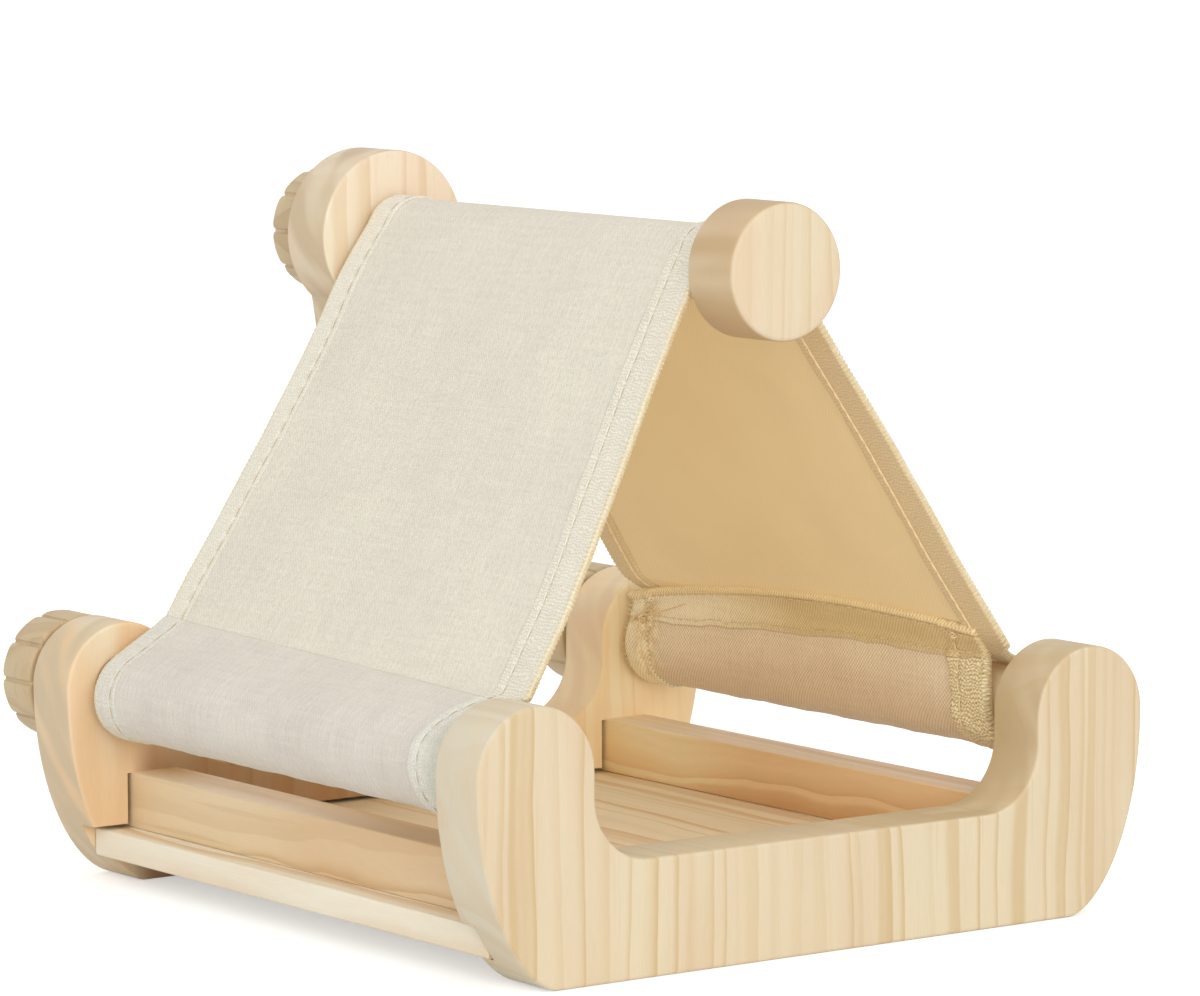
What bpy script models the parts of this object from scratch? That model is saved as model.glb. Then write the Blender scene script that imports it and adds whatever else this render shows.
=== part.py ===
"""Bird nest bed: a pine stand with a canvas roof over three rods, clamped to cage wires from behind.

Metres, +Z up. X runs across the bed and Y from its open front (-Y) to its clamped back (+Y).
Both panels stand on z = 0, and the origin is the middle of the footprint.
"""

import math

import bmesh
import bpy
from mathutils import Matrix, Vector

# Stand
PANEL_THICKNESS = 0.015
PANEL_GAP = 0.140
FOOT_INSIDE_ROD = 0.0048
CORNER_PULL_ACROSS = 0.0090
CORNER_PULL_UP = 0.0018
CORNER_PULL_DOWN = 0.0247
LOBE_RADIUS = 0.0143
CUTOUT_HEIGHT = 0.0243
CUTOUT_FILLET = 0.0135
HEAD_RADIUS = 0.0188
NECK_HALF_WIDTH = 0.0093
NECK_WAIST_BELOW_RIDGE = 0.0518
NECK_ROOT_WIDENING = 0.0033
NECK_FOOT_FROM_ROD = 0.0274
NECK_FOOT_SWEEP = 0.42
NECK_WAIST_SWEEP = 0.31
EDGE_EASE = 0.0007

# Rods
ROD_RADIUS = 0.0075
ROD_SPREAD = 0.0716
SIDE_ROD_HEIGHT = 0.0431
RIDGE_HEIGHT = 0.1388

# Floor and rails
FLOOR_THICKNESS = 0.006
FLOOR_LIFT = 0.006
FLOOR_PAST_ROD = 0.0049
GROOVE_DEPTH = 0.005
GROOVE_SLACK = 0.001
RAIL_WIDTH = 0.012
RAIL_INSIDE_ROD = 0.0076

# Front end of the ridge rod
END_KNOB_RADIUS = 0.0143
END_KNOB_LENGTH = 0.0152
END_KNOB_SETBACK = 0.0122

# Rear clamps
CLAMP_KNOB_RADIUS = 0.0141
CLAMP_KNOB_THICKNESS = 0.0119
FLUTES = 10
FLUTE_RADIUS = 0.00055
FLUTE_DEPTH = 0.0008
WASHER_RADIUS = 0.010
WASHER_THICKNESS = 0.0015
BOLT_RADIUS = 0.003
BOLT_IN_ROD = 0.020
BOLT_IN_INSERT = 0.007
INSERT_RADIUS = 0.0045
INSERT_LENGTH = 0.0075
SCREW_RADIUS = 0.002
SCREW_IN_ROD = 0.014
SCREW_IN_WOOD = 0.009

# Canvas
CLOTH_THICKNESS = 0.0009
HEM_WIDTH = 0.008
HEM_EXTRA = 0.0008
SLEEVE_ROOM = 0.0014
SLEEVE_DROP = 0.0012
SEAM_FROM_ROD = 0.0160
FLAP_FROM_ROD = 0.0205
EDGE_FROM_KNOB = 0.0010
LOW_EDGE_FROM_PANEL = 0.0010
REAR_EDGE_FROM_PANEL = 0.0020

# Clearance between neighbouring pieces
GAP = 0.0003

CLAMP_STACK = GAP + WASHER_THICKNESS + GAP + CLAMP_KNOB_THICKNESS
DEPTH = 2 * PANEL_THICKNESS + PANEL_GAP + CLAMP_STACK
FRONT_FACE = -DEPTH / 2
FRONT_INNER = FRONT_FACE + PANEL_THICKNESS
REAR_INNER = FRONT_INNER + PANEL_GAP
BACK_FACE = REAR_INNER + PANEL_THICKNESS
FOOT_HALF_WIDTH = ROD_SPREAD - FOOT_INSIDE_ROD
FLOOR_HALF_WIDTH = ROD_SPREAD + FLOOR_PAST_ROD
RAIL_CENTRE = ROD_SPREAD - RAIL_INSIDE_ROD
RODS = {
    "ridge": Vector((0, 0, RIDGE_HEIGHT)),
    "left": Vector((-ROD_SPREAD, 0, SIDE_ROD_HEIGHT)),
    "right": Vector((ROD_SPREAD, 0, SIDE_ROD_HEIGHT)),
}


def clear_scene():
    for item in list(bpy.data.objects):
        bpy.data.objects.remove(item, do_unlink=True)


def make_collection(name):
    group = bpy.data.collections.new(name)
    bpy.context.scene.collection.children.link(group)
    return group


def make_material(name, colour, roughness, metallic=0.0):
    material = bpy.data.materials.new(name)
    material.use_nodes = True
    surface = material.node_tree.nodes["Principled BSDF"]
    surface.inputs["Base Color"].default_value = (*colour, 1)
    surface.inputs["Roughness"].default_value = roughness
    surface.inputs["Metallic"].default_value = metallic
    return material


def arc(centre, radius, start, end, steps):
    """Points on an arc in X and Z, from the start angle to the end angle in degrees."""
    angles = [math.radians(start + (end - start) * i / steps) for i in range(steps + 1)]
    return [(centre[0] + radius * math.cos(a), centre[1] + radius * math.sin(a)) for a in angles]


def bezier(start, pull_start, pull_end, end, steps):
    """Points on a cubic curve between two ends, without the first of them."""
    points = []
    for i in range(1, steps + 1):
        t = i / steps
        weights = ((1 - t) ** 3, 3 * t * (1 - t) ** 2, 3 * t * t * (1 - t), t ** 3)
        corners = (start, pull_start, pull_end, end)
        points.append(tuple(sum(w * p[k] for w, p in zip(weights, corners)) for k in (0, 1)))
    return points


def tangent_angle(centre, radius, point, side):
    """Angle in degrees, about the centre, where a line from the point touches the circle."""
    dx, dz = point[0] - centre[0], point[1] - centre[1]
    spread = math.acos(radius / math.hypot(dx, dz))
    return math.degrees(math.atan2(dz, dx) + side * spread)


def mirrored(points):
    """The same points on the other side of the middle plane, in reverse order."""
    return [(-x, z) for x, z in reversed(points)]


def plate(name, splines, y_front, thickness):
    """Mesh of a flat board: closed outlines in X and Z, inner ones as holes, thick along Y."""
    curve = bpy.data.curves.new(name, "CURVE")
    curve.dimensions = "2D"
    curve.fill_mode = "BOTH"
    curve.extrude = thickness / 2
    for points in splines:
        spline = curve.splines.new("POLY")
        spline.points.add(len(points) - 1)
        for point, (x, z) in zip(spline.points, points):
            point.co = (x, z, 0, 1)
        spline.use_cyclic_u = True
    holder = bpy.data.objects.new(name, curve)
    mesh = bpy.data.meshes.new_from_object(holder)
    bpy.data.objects.remove(holder)
    bpy.data.curves.remove(curve)
    upright = Matrix.Rotation(math.pi / 2, 4, "X")
    mesh.transform(Matrix.Translation((0, y_front + thickness / 2, 0)) @ upright)
    weld(mesh)
    return mesh


def weld(mesh):
    work = bmesh.new()
    work.from_mesh(mesh)
    bmesh.ops.remove_doubles(work, verts=work.verts, dist=0.000001)
    bmesh.ops.recalc_face_normals(work, faces=work.faces)
    work.to_mesh(mesh)
    work.free()


def add_piece(name, mesh, material, location=(0, 0, 0)):
    mesh.name = name
    mesh.materials.append(material)
    piece = bpy.data.objects.new(name, mesh)
    piece.location = location
    PARTS.objects.link(piece)
    return piece


def turned(name, profile, location, material, steps=40):
    """A piece turned about Y: (radius, y) points from back pole to front pole, or a closed ring."""
    mesh = bpy.data.meshes.new(name)
    on_axis = profile[0][0] == 0
    edges = [(i, i + 1) for i in range(len(profile) - 1)]
    if not on_axis:
        edges.append((len(profile) - 1, 0))
    mesh.from_pydata([(radius, 0, y) for radius, y in profile], edges, [])
    piece = add_piece(name, mesh, material, location)
    piece.rotation_euler = (-math.pi / 2, 0, 0)
    screw = piece.modifiers.new("Turn", "SCREW")
    screw.axis = "Z"
    screw.steps = steps
    screw.render_steps = steps
    screw.use_merge_vertices = True
    screw.merge_threshold = 0.00001
    return piece


def eased_end(radius, y, ease, inward):
    """Corner of a turned profile, its edge eased; inward is the way along Y into the piece."""
    middle = (radius - 0.3 * ease, y + 0.3 * ease * inward)
    return [(radius - ease, y), middle, (radius, y + ease * inward)]


def add_cutter(name, mesh):
    cutter = bpy.data.objects.new(name, mesh)
    cutter.hide_render = True
    cutter.display_type = "WIRE"
    CUTTERS.objects.link(cutter)
    return cutter


def cut(piece, cutter):
    boolean = piece.modifiers.new(cutter.name, "BOOLEAN")
    boolean.operation = "DIFFERENCE"
    boolean.solver = "EXACT"
    boolean.object = cutter


def box_cutter(name, low, high):
    work = bmesh.new()
    bmesh.ops.create_cube(work, size=1)
    size = [b - a for a, b in zip(low, high)]
    middle = [(a + b) / 2 for a, b in zip(low, high)]
    placed = Matrix.Translation(middle) @ Matrix.Diagonal((*size, 1))
    bmesh.ops.transform(work, matrix=placed, verts=work.verts)
    mesh = bpy.data.meshes.new(name)
    work.to_mesh(mesh)
    work.free()
    return add_cutter(name, mesh)


def bore_cutter(name, places, radius, y_front, y_back, segments):
    """Round bars along Y, one through each place, to cut holes or flutes with."""
    work = bmesh.new()
    for place in places:
        middle = Vector((place[0], (y_front + y_back) / 2, place[2]))
        turn = Matrix.Translation(middle) @ Matrix.Rotation(math.pi / 2, 4, "X")
        bmesh.ops.create_cone(work, cap_ends=True, segments=segments, radius1=radius, radius2=radius,
                              depth=y_back - y_front, matrix=turn)
    mesh = bpy.data.meshes.new(name)
    work.to_mesh(mesh)
    work.free()
    return add_cutter(name, mesh)


def panel_flank():
    """Right side of a panel, from the middle of its foot up over the lobe to the cutout's floor."""
    lobe_edge = (ROD_SPREAD + LOBE_RADIUS, SIDE_ROD_HEIGHT)
    corner = bezier(
        (FOOT_HALF_WIDTH, 0),
        (FOOT_HALF_WIDTH + CORNER_PULL_ACROSS, CORNER_PULL_UP),
        (lobe_edge[0], SIDE_ROD_HEIGHT - CORNER_PULL_DOWN),
        lobe_edge,
        14,
    )
    lobe = arc((ROD_SPREAD, SIDE_ROD_HEIGHT), LOBE_RADIUS, 0, 180, 22)
    wall = ROD_SPREAD - LOBE_RADIUS
    fillet = arc((wall - CUTOUT_FILLET, CUTOUT_HEIGHT + CUTOUT_FILLET), CUTOUT_FILLET, 0, -90, 9)
    return [(FOOT_HALF_WIDTH, 0)] + corner + lobe[1:] + fillet


def neck_and_head():
    """Right side of the rear panel's post, from the cutout's floor up round the head to its top."""
    foot = (ROD_SPREAD - NECK_FOOT_FROM_ROD, CUTOUT_HEIGHT)
    waist = (NECK_HALF_WIDTH, RIDGE_HEIGHT - NECK_WAIST_BELOW_RIDGE)
    root_width = NECK_HALF_WIDTH + NECK_ROOT_WIDENING
    root_drop = math.sqrt(HEAD_RADIUS ** 2 - root_width ** 2)
    root = (root_width, RIDGE_HEIGHT - root_drop)
    flare = waist[1] - foot[1]
    foot_pull = (foot[0] - NECK_FOOT_SWEEP * flare, foot[1])
    lower = bezier(foot, foot_pull, (waist[0], foot[1] + NECK_WAIST_SWEEP * flare), waist, 14)
    rise = root[1] - waist[1]
    root_pull = (root[0] - NECK_ROOT_WIDENING / 3, root[1] - rise / 6)
    upper = bezier(waist, (waist[0], waist[1] + rise / 2), root_pull, root, 7)
    start = math.degrees(math.atan2(-root_drop, root_width))
    head = arc((0, RIDGE_HEIGHT), HEAD_RADIUS, start, 90, 20)
    return [foot] + lower + upper + head[1:]


def ease_edges(piece, width):
    bevel = piece.modifiers.new("Ease", "BEVEL")
    bevel.width = width
    bevel.segments = 1
    bevel.limit_method = "ANGLE"
    bevel.angle_limit = math.radians(50)


def groove_cutters(name, inner_face, into):
    """Spaces in a panel's inner face for the floor's edge and both rails' ends."""
    deep = sorted((inner_face - into * GROOVE_DEPTH, inner_face + into * GROOVE_DEPTH))
    past_edge = ROD_SPREAD + 2 * LOBE_RADIUS
    floor_top = FLOOR_LIFT + FLOOR_THICKNESS
    return [
        box_cutter(name + "_floor", (-past_edge, deep[0], FLOOR_LIFT - GAP),
                   (past_edge, deep[1], floor_top + GROOVE_SLACK)),
        box_cutter(name + "_left_rail", *rail_space(-1, deep)),
        box_cutter(name + "_right_rail", *rail_space(1, deep)),
    ]


def rail_space(side, deep):
    middle = side * RAIL_CENTRE
    half = RAIL_WIDTH / 2 + GROOVE_SLACK / 2
    low = (middle - half, deep[0], FLOOR_LIFT + FLOOR_THICKNESS / 2)
    return low, (middle + half, deep[1], CUTOUT_HEIGHT + GAP)


def build_panels():
    flank = panel_flank()
    front = plate("front_panel", [mirrored(flank) + flank], FRONT_FACE, PANEL_THICKNESS)
    front_panel = add_piece("front_panel", front, PINE)
    whole_side = flank + neck_and_head()
    rear = plate("rear_panel", [mirrored(whole_side)[1:] + whole_side], REAR_INNER, PANEL_THICKNESS)
    rear_panel = add_piece("rear_panel", rear, PINE)
    for panel in (front_panel, rear_panel):
        ease_edges(panel, EDGE_EASE)
    for cutter in groove_cutters("front_groove", FRONT_INNER, -1):
        cut(front_panel, cutter)
    for cutter in groove_cutters("rear_groove", REAR_INNER, 1):
        cut(rear_panel, cutter)
    sides = (RODS["left"], RODS["right"])
    screw_ends = (FRONT_INNER - SCREW_IN_WOOD - GAP, FRONT_INNER + GAP)
    cut(front_panel, bore_cutter("screw_holes", sides, SCREW_RADIUS + GAP, *screw_ends, 16))
    bolt_ends = (REAR_INNER - GAP, BACK_FACE + GAP)
    cut(rear_panel, bore_cutter("bolt_holes", RODS.values(), BOLT_RADIUS + GAP, *bolt_ends, 24))


def build_floor():
    low_y = FRONT_INNER - GROOVE_DEPTH + GAP
    high_y = REAR_INNER + GROOVE_DEPTH - GAP
    board("floor_board", 0, 2 * FLOOR_HALF_WIDTH, low_y, high_y, FLOOR_LIFT, FLOOR_LIFT + FLOOR_THICKNESS)
    rail_foot = FLOOR_LIFT + FLOOR_THICKNESS + GAP
    for name, side in (("left_rail", -1), ("right_rail", 1)):
        board(name, side * RAIL_CENTRE, RAIL_WIDTH, low_y, high_y, rail_foot, CUTOUT_HEIGHT)


def board(name, x, width, y_front, y_back, z_low, z_high):
    work = bmesh.new()
    bmesh.ops.create_cube(work, size=1)
    size = Matrix.Diagonal((width, y_back - y_front, z_high - z_low, 1))
    bmesh.ops.transform(work, matrix=size, verts=work.verts)
    mesh = bpy.data.meshes.new(name)
    work.to_mesh(mesh)
    work.free()
    piece = add_piece(name, mesh, PINE, (x, (y_front + y_back) / 2, (z_low + z_high) / 2))
    ease_edges(piece, EDGE_EASE / 2)


def rod_profile(y_front, y_back):
    """A dowel with a blind hole in each end: the screw's at the front and the bolt's at the back."""
    bolt_hole = BOLT_RADIUS + GAP
    screw_hole = SCREW_RADIUS + GAP
    bolt_end = y_back - BOLT_IN_ROD - GAP
    screw_end = y_front + SCREW_IN_ROD + GAP
    back = [(0, bolt_end), (bolt_hole, bolt_end), (bolt_hole, y_back)]
    front = [(screw_hole, y_front), (screw_hole, screw_end), (0, screw_end)]
    back_rim = eased_end(ROD_RADIUS, y_back, EDGE_EASE, -1)
    front_rim = eased_end(ROD_RADIUS, y_front, EDGE_EASE, 1)[::-1]
    return back + back_rim + front_rim + front


def rod_front(name):
    """Where a rod starts: behind the end knob on the ridge, behind the front panel at the sides."""
    if name == "ridge":
        return FRONT_FACE + END_KNOB_SETBACK + END_KNOB_LENGTH
    return FRONT_INNER


def build_rods():
    for name, place in RODS.items():
        joint = rod_front(name)
        turned(name + "_rod", rod_profile(joint + GAP, REAR_INNER - GAP), place, PINE)
        tip = 2 * SCREW_RADIUS
        screw = [
            (0, SCREW_IN_ROD),
            (SCREW_RADIUS, SCREW_IN_ROD - tip),
            (SCREW_RADIUS, tip - SCREW_IN_WOOD),
            (0, -SCREW_IN_WOOD),
        ]
        turned(name + "_dowel_screw", screw, place + Vector((0, joint, 0)), ZINC, 16)
    hole_end = END_KNOB_LENGTH - SCREW_IN_WOOD - GAP
    hole = SCREW_RADIUS + GAP
    ease = 1.4 * EDGE_EASE
    back = [(0, hole_end), (hole, hole_end), (hole, END_KNOB_LENGTH)]
    back += eased_end(END_KNOB_RADIUS, END_KNOB_LENGTH, ease, -1)
    front = eased_end(END_KNOB_RADIUS, 0, ease, 1)[::-1] + [(0, 0)]
    place = RODS["ridge"] + Vector((0, FRONT_FACE + END_KNOB_SETBACK, 0))
    turned("ridge_end_knob", back + front, place, PINE, 56)


def build_clamp(name, place):
    """One rear clamp: a bolt in the rod's end, and the washer and fluted knob that turn on it."""
    washer_face = BACK_FACE + GAP
    knob_face = washer_face + WASHER_THICKNESS + GAP
    tip = knob_face + BOLT_IN_INSERT
    root = REAR_INNER - BOLT_IN_ROD
    point = 2 * BOLT_RADIUS
    crest = BOLT_RADIUS / 4
    bolt = [
        (0, tip),
        (BOLT_RADIUS - crest, tip),
        (BOLT_RADIUS, tip - crest),
        (BOLT_RADIUS, root + point),
        (0, root),
    ]
    turned(name + "_hanger_bolt", bolt, place, ZINC, 24)
    hole = BOLT_RADIUS + GAP
    washer = [(hole, WASHER_THICKNESS), (WASHER_RADIUS, WASHER_THICKNESS), (WASHER_RADIUS, 0), (hole, 0)]
    turned(name + "_clamp_washer", washer, place + Vector((0, washer_face, 0)), ZINC, 32)
    insert = [(hole, INSERT_LENGTH), (INSERT_RADIUS, INSERT_LENGTH), (INSERT_RADIUS, 0), (hole, 0)]
    turned(name + "_knob_insert", insert, place + Vector((0, knob_face, 0)), BRASS, 24)
    build_clamp_knob(name, place + Vector((0, knob_face, 0)))


def build_clamp_knob(name, place):
    bore = INSERT_RADIUS + GAP
    bottom = INSERT_LENGTH + GAP
    back = [(0, CLAMP_KNOB_THICKNESS)]
    back += eased_end(CLAMP_KNOB_RADIUS, CLAMP_KNOB_THICKNESS, 2 * EDGE_EASE, -1)
    front = eased_end(CLAMP_KNOB_RADIUS, 0, EDGE_EASE, 1)[::-1]
    profile = back + front + [(bore, 0), (bore, bottom), (0, bottom)]
    knob = turned(name + "_clamp_knob", profile, place, PINE, 60)
    ring = CLAMP_KNOB_RADIUS + FLUTE_RADIUS - FLUTE_DEPTH
    turns = [math.tau * i / FLUTES for i in range(FLUTES)]
    places = [place + Vector((ring * math.cos(turn), 0, ring * math.sin(turn))) for turn in turns]
    ends = (place.y - GAP, place.y + CLAMP_KNOB_THICKNESS + GAP)
    cut(knob, bore_cutter(name + "_flutes", places, FLUTE_RADIUS, *ends, 10))


def cover_section(inside, outside):
    """Closed outlines of the cover, cut across the rods: its outside first, then its two sleeves.

    inside and outside are how far the cloth's two faces lie from the ridge rod. Each slope points at
    the middle of its side rod, as cloth pulled by both sides of a sleeve does.
    """
    rod = (ROD_SPREAD, SIDE_ROD_HEIGHT)
    ridge = (0, RIDGE_HEIGHT)
    middle = ROD_RADIUS + (inside + outside) / 2
    half = (outside - inside) / 2
    touch = tangent_angle(ridge, middle, rod, 1)
    down = Vector((math.sin(math.radians(touch)), -math.cos(math.radians(touch))))
    out = Vector((-down.y, down.x))
    rod_middle = Vector(rod)

    def on_slope(from_rod, offset):
        point = rod_middle - down * from_rod + out * offset
        return (point.x, point.y)

    loop = (ROD_SPREAD, SIDE_ROD_HEIGHT - SLEEVE_DROP)
    loop_outside = ROD_RADIUS + outside - GAP + SLEEVE_ROOM
    loop_inside = ROD_RADIUS + inside - GAP + SLEEVE_ROOM
    seam_outside = on_slope(SEAM_FROM_ROD, half)
    seam_inside = on_slope(SEAM_FROM_ROD, -3 * half)
    first = tangent_angle(loop, loop_outside, seam_outside, -1)
    last = tangent_angle(loop, loop_outside, seam_inside, 1) - 360
    outline = arc(ridge, ROD_RADIUS + outside, 90, touch, 6)
    outline += [seam_outside]
    outline += arc(loop, loop_outside, first, last, 20)
    outline += [seam_inside, on_slope(FLAP_FROM_ROD, -3 * half)]
    outline += [on_slope(FLAP_FROM_ROD + 2 * half, -half)]
    inner_ridge = arc(ridge, ROD_RADIUS + inside, touch, 90, 5)
    fold = on_slope(SEAM_FROM_ROD - 2 * half, -half)
    start = tangent_angle(loop, loop_inside, fold, -1)
    end = tangent_angle(loop, loop_inside, fold, 1) - 360
    sleeve = [fold] + arc(loop, loop_inside, start, end, 18)
    right = outline + inner_ridge
    return [right[:-1] + mirrored(right)[:-1], sleeve, mirrored(sleeve)]


def knob_passing_height():
    """Height at which a slope of the cover passes the end knob's rim on its way down."""
    cloth = ROD_RADIUS + GAP + CLOTH_THICKNESS / 2
    touch = tangent_angle((0, RIDGE_HEIGHT), cloth, (ROD_SPREAD, SIDE_ROD_HEIGHT), 1)
    below_touch = math.acos(cloth / END_KNOB_RADIUS)
    return RIDGE_HEIGHT + END_KNOB_RADIUS * math.sin(math.radians(touch) - below_touch)


def front_edge(height, behind):
    """Y of the cover's front edge at a height, plus a distance behind it.

    The edge slants forward as it drops, from close behind the end knob to close behind the panel.
    """
    lowest = SIDE_ROD_HEIGHT - 2 * ROD_RADIUS
    low = FRONT_INNER + LOW_EDGE_FROM_PANEL
    high = rod_front("ridge") + EDGE_FROM_KNOB
    return low + (high - low) * (height - lowest) / (knob_passing_height() - lowest) + behind


def rear_edge(height, behind):
    return REAR_INNER - REAR_EDGE_FROM_PANEL + behind


def cover_layer(name, inside, outside, front, back):
    """A length of the cover; front and back are each an edge and a distance behind it."""
    mesh = plate(name, cover_section(inside, outside), 0, 1)
    for vertex in mesh.vertices:
        edge, behind = front if vertex.co.y < 0.5 else back
        vertex.co.y = edge(vertex.co.z, behind)
    return mesh


def build_cover():
    """The cover: one cloth over the ridge, with a sleeve sewn round each side rod and hemmed edges."""
    outside = GAP + CLOTH_THICKNESS
    mesh = cover_layer("canvas_cover", GAP, outside, (front_edge, 0), (rear_edge, 0))
    cover = add_piece("canvas_cover", mesh, CANVAS)
    core = GAP + CLOTH_THICKNESS / 2
    proud = outside + HEM_EXTRA
    fold = HEM_EXTRA / 4
    hems = {
        "front_hem": ((front_edge, -fold), (front_edge, HEM_WIDTH)),
        "rear_hem": ((rear_edge, -HEM_WIDTH), (rear_edge, fold)),
    }
    for name, (front, back) in hems.items():
        hem = add_cutter(name, cover_layer(name, core, proud, front, back))
        join = cover.modifiers.new(name, "BOOLEAN")
        join.operation = "UNION"
        join.solver = "EXACT"
        join.object = hem


clear_scene()
PARTS = make_collection("bird_nest_bed")
CUTTERS = make_collection("cutters")
PINE = make_material("pine", (0.80, 0.66, 0.46), 0.55)
CANVAS = make_material("canvas", (0.80, 0.74, 0.62), 0.9)
ZINC = make_material("zinc_plated_steel", (0.62, 0.63, 0.65), 0.35, 1.0)
BRASS = make_material("brass", (0.72, 0.55, 0.27), 0.35, 1.0)

build_panels()
build_floor()
build_rods()
for clamp_name, clamp_place in RODS.items():
    build_clamp(clamp_name, clamp_place)
build_cover()
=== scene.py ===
import math

import bmesh
import bpy
import numpy as np
from mathutils import Euler, Matrix, Vector


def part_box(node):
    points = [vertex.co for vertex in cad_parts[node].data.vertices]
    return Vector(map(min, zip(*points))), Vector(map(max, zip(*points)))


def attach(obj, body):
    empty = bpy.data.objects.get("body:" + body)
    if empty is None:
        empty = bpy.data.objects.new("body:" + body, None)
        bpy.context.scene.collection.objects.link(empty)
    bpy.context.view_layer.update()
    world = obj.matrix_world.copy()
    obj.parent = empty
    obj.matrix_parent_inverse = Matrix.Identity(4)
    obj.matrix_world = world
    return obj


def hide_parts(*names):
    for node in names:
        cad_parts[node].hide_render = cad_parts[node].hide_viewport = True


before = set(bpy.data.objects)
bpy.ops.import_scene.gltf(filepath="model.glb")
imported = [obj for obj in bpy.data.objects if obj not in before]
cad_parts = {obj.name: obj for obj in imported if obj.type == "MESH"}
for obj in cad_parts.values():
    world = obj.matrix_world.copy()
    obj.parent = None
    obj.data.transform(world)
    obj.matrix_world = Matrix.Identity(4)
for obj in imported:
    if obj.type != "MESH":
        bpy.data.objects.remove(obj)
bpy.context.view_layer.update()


# Viewpoint. The bed is seen from its front left corner, a little above the roof, through a long
# lens, so its uprights stay nearly parallel.
lens_pixels = 5873.9
image_width = 1200
viewer_place = (-0.7327, -1.0214, 0.2284)
looks_down, looks_right, leans = (math.radians(angle) for angle in (6.4938, 36.0508, 0.1296))


def in_scene(name, data):
    """A new object in the scene, unturned at the origin."""
    made = bpy.data.objects.new(name, data)
    bpy.context.scene.collection.objects.link(made)
    return made


view = bpy.data.cameras.new("viewpoint")
view.sensor_width = 36
view.lens = lens_pixels / image_width * view.sensor_width
view.clip_start = 0.05
view.clip_end = 60
viewpoint = in_scene("viewpoint", view)
aim = Euler((math.pi / 2 - looks_down, 0, -looks_right)).to_matrix() @ Matrix.Rotation(-leans, 3, "Z")
viewpoint.matrix_world = Matrix.Translation(viewer_place) @ aim.to_4x4()
bpy.context.scene.camera = viewpoint
bpy.context.scene.view_settings.view_transform = "Standard"


# Studio. A pale floor that stays white where nothing shades it, an even white room, and three broad
# soft lamps: a low one on the viewer's side that reaches into the bed, one high in front on the right,
# and a weak one on the left.
room_light = 0.74
floor_tint = 0.86
floor_glow = 0.46
floor_reach = 12
lamp_target = Vector((0, 0, 0.07))


class Flow:
    """A value that runs through a shader tree from a node's output. A sum or product with it is a new
    maths node, and flow[name or number] is another output of the same node."""

    def __init__(self, socket):
        self.socket, self.tree = socket, socket.id_data

    def __getitem__(self, key):
        return Flow(self.socket.node.outputs[key])

    def calc(self, operation, second=0.0, third=0.0):
        return put(self.tree, "ShaderNodeMath", {0: self, 1: second, 2: third}, operation=operation)

    def __add__(self, other):
        return self.calc("ADD", other)

    def __sub__(self, other):
        return self.calc("SUBTRACT", other)

    def __rsub__(self, other):
        return self.calc("MULTIPLY_ADD", -1.0, other)

    def __mul__(self, other):
        return self.calc("MULTIPLY", other)

    def __truediv__(self, other):
        return self.calc("DIVIDE", other)


def paint(colour):
    """A colour named by its red, green and blue from 0 to 255, as the linear values a shader takes. A
    flow stays as it is, and so does a colour of four numbers, which is linear already."""
    if isinstance(colour, Flow) or len(colour) == 4:
        return colour
    share = np.array(colour) / 255
    linear = np.where(share <= 0.04045, share / 12.92, ((share + 0.055) / 1.055) ** 2.4)
    return (*linear.tolist(), 1.0)


def feed(node, feeds):
    """Gives a node's inputs, by name or number, a flow or a fixed value."""
    for key, value in feeds.items():
        if isinstance(value, Flow):
            value.tree.links.new(value.socket, node.inputs[key])
        else:
            node.inputs[key].default_value = value


def put(tree, kind, feeds=None, **settings):
    """A new node of that kind with its settings and feeds, as the flow from its first output."""
    made = tree.nodes.new(kind)
    for key, value in settings.items():
        setattr(made, key, value)
    feed(made, feeds or {})
    return Flow(made.outputs[0])


def blended(share, first, second, way="MIX"):
    """The first colour or flow with a share of the second over it."""
    tree = next(value.tree for value in (share, first, second) if isinstance(value, Flow))
    return put(tree, "ShaderNodeMix", {0: share, 6: paint(first), 7: paint(second)}, data_type="RGBA",
               blend_type=way)[2]


def new_finish(name):
    """An empty material: its node tree and its surface shader."""
    material = bpy.data.materials.new(name)
    material.use_nodes = True
    return material, material.node_tree, material.node_tree.nodes["Principled BSDF"]


def shown_background(tree):
    """1 for rays that show what is behind the bed: the camera's, and those off gloss or through glass."""
    rays = put(tree, "ShaderNodeLightPath")
    shown = rays["Is Camera Ray"].calc("MAXIMUM", rays["Is Glossy Ray"])
    return shown.calc("MAXIMUM", rays["Is Transmission Ray"])


room = bpy.data.worlds.new("room")
bpy.context.scene.world = room
room.use_nodes = True
level = shown_background(room.node_tree).calc("MAXIMUM", room_light)
feed(room.node_tree.nodes["Background"], {"Color": (1, 1, 1, 1), "Strength": level})

floor_mesh = bpy.data.meshes.new("studio_floor")
corners = np.array([(-1, -1, 0), (1, -1, 0), (1, 1, 0), (-1, 1, 0)]) * floor_reach
floor_mesh.from_pydata(corners.tolist(), [], [(0, 1, 2, 3)])
studio_floor = in_scene("studio_floor", floor_mesh)
floor_finish, tree, surface = new_finish("studio_floor")
glow = blended(shown_background(tree), (0, 0, 0, 1), (floor_glow, floor_glow, floor_glow, 1))
feed(surface, {"Base Color": (floor_tint, floor_tint, floor_tint, 1), "Roughness": 0.9,
               "Emission Color": glow, "Emission Strength": 1})
floor_mesh.materials.append(floor_finish)


def hang_lamp(name, place, size, power):
    """A square lamp that shines at the middle of the bed."""
    lamp = bpy.data.lights.new(name, "AREA")
    lamp.size = size
    lamp.energy = power
    holder = in_scene(name, lamp)
    holder.location = place
    holder.rotation_euler = (lamp_target - Vector(place)).to_track_quat("-Z", "Y").to_euler()


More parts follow.
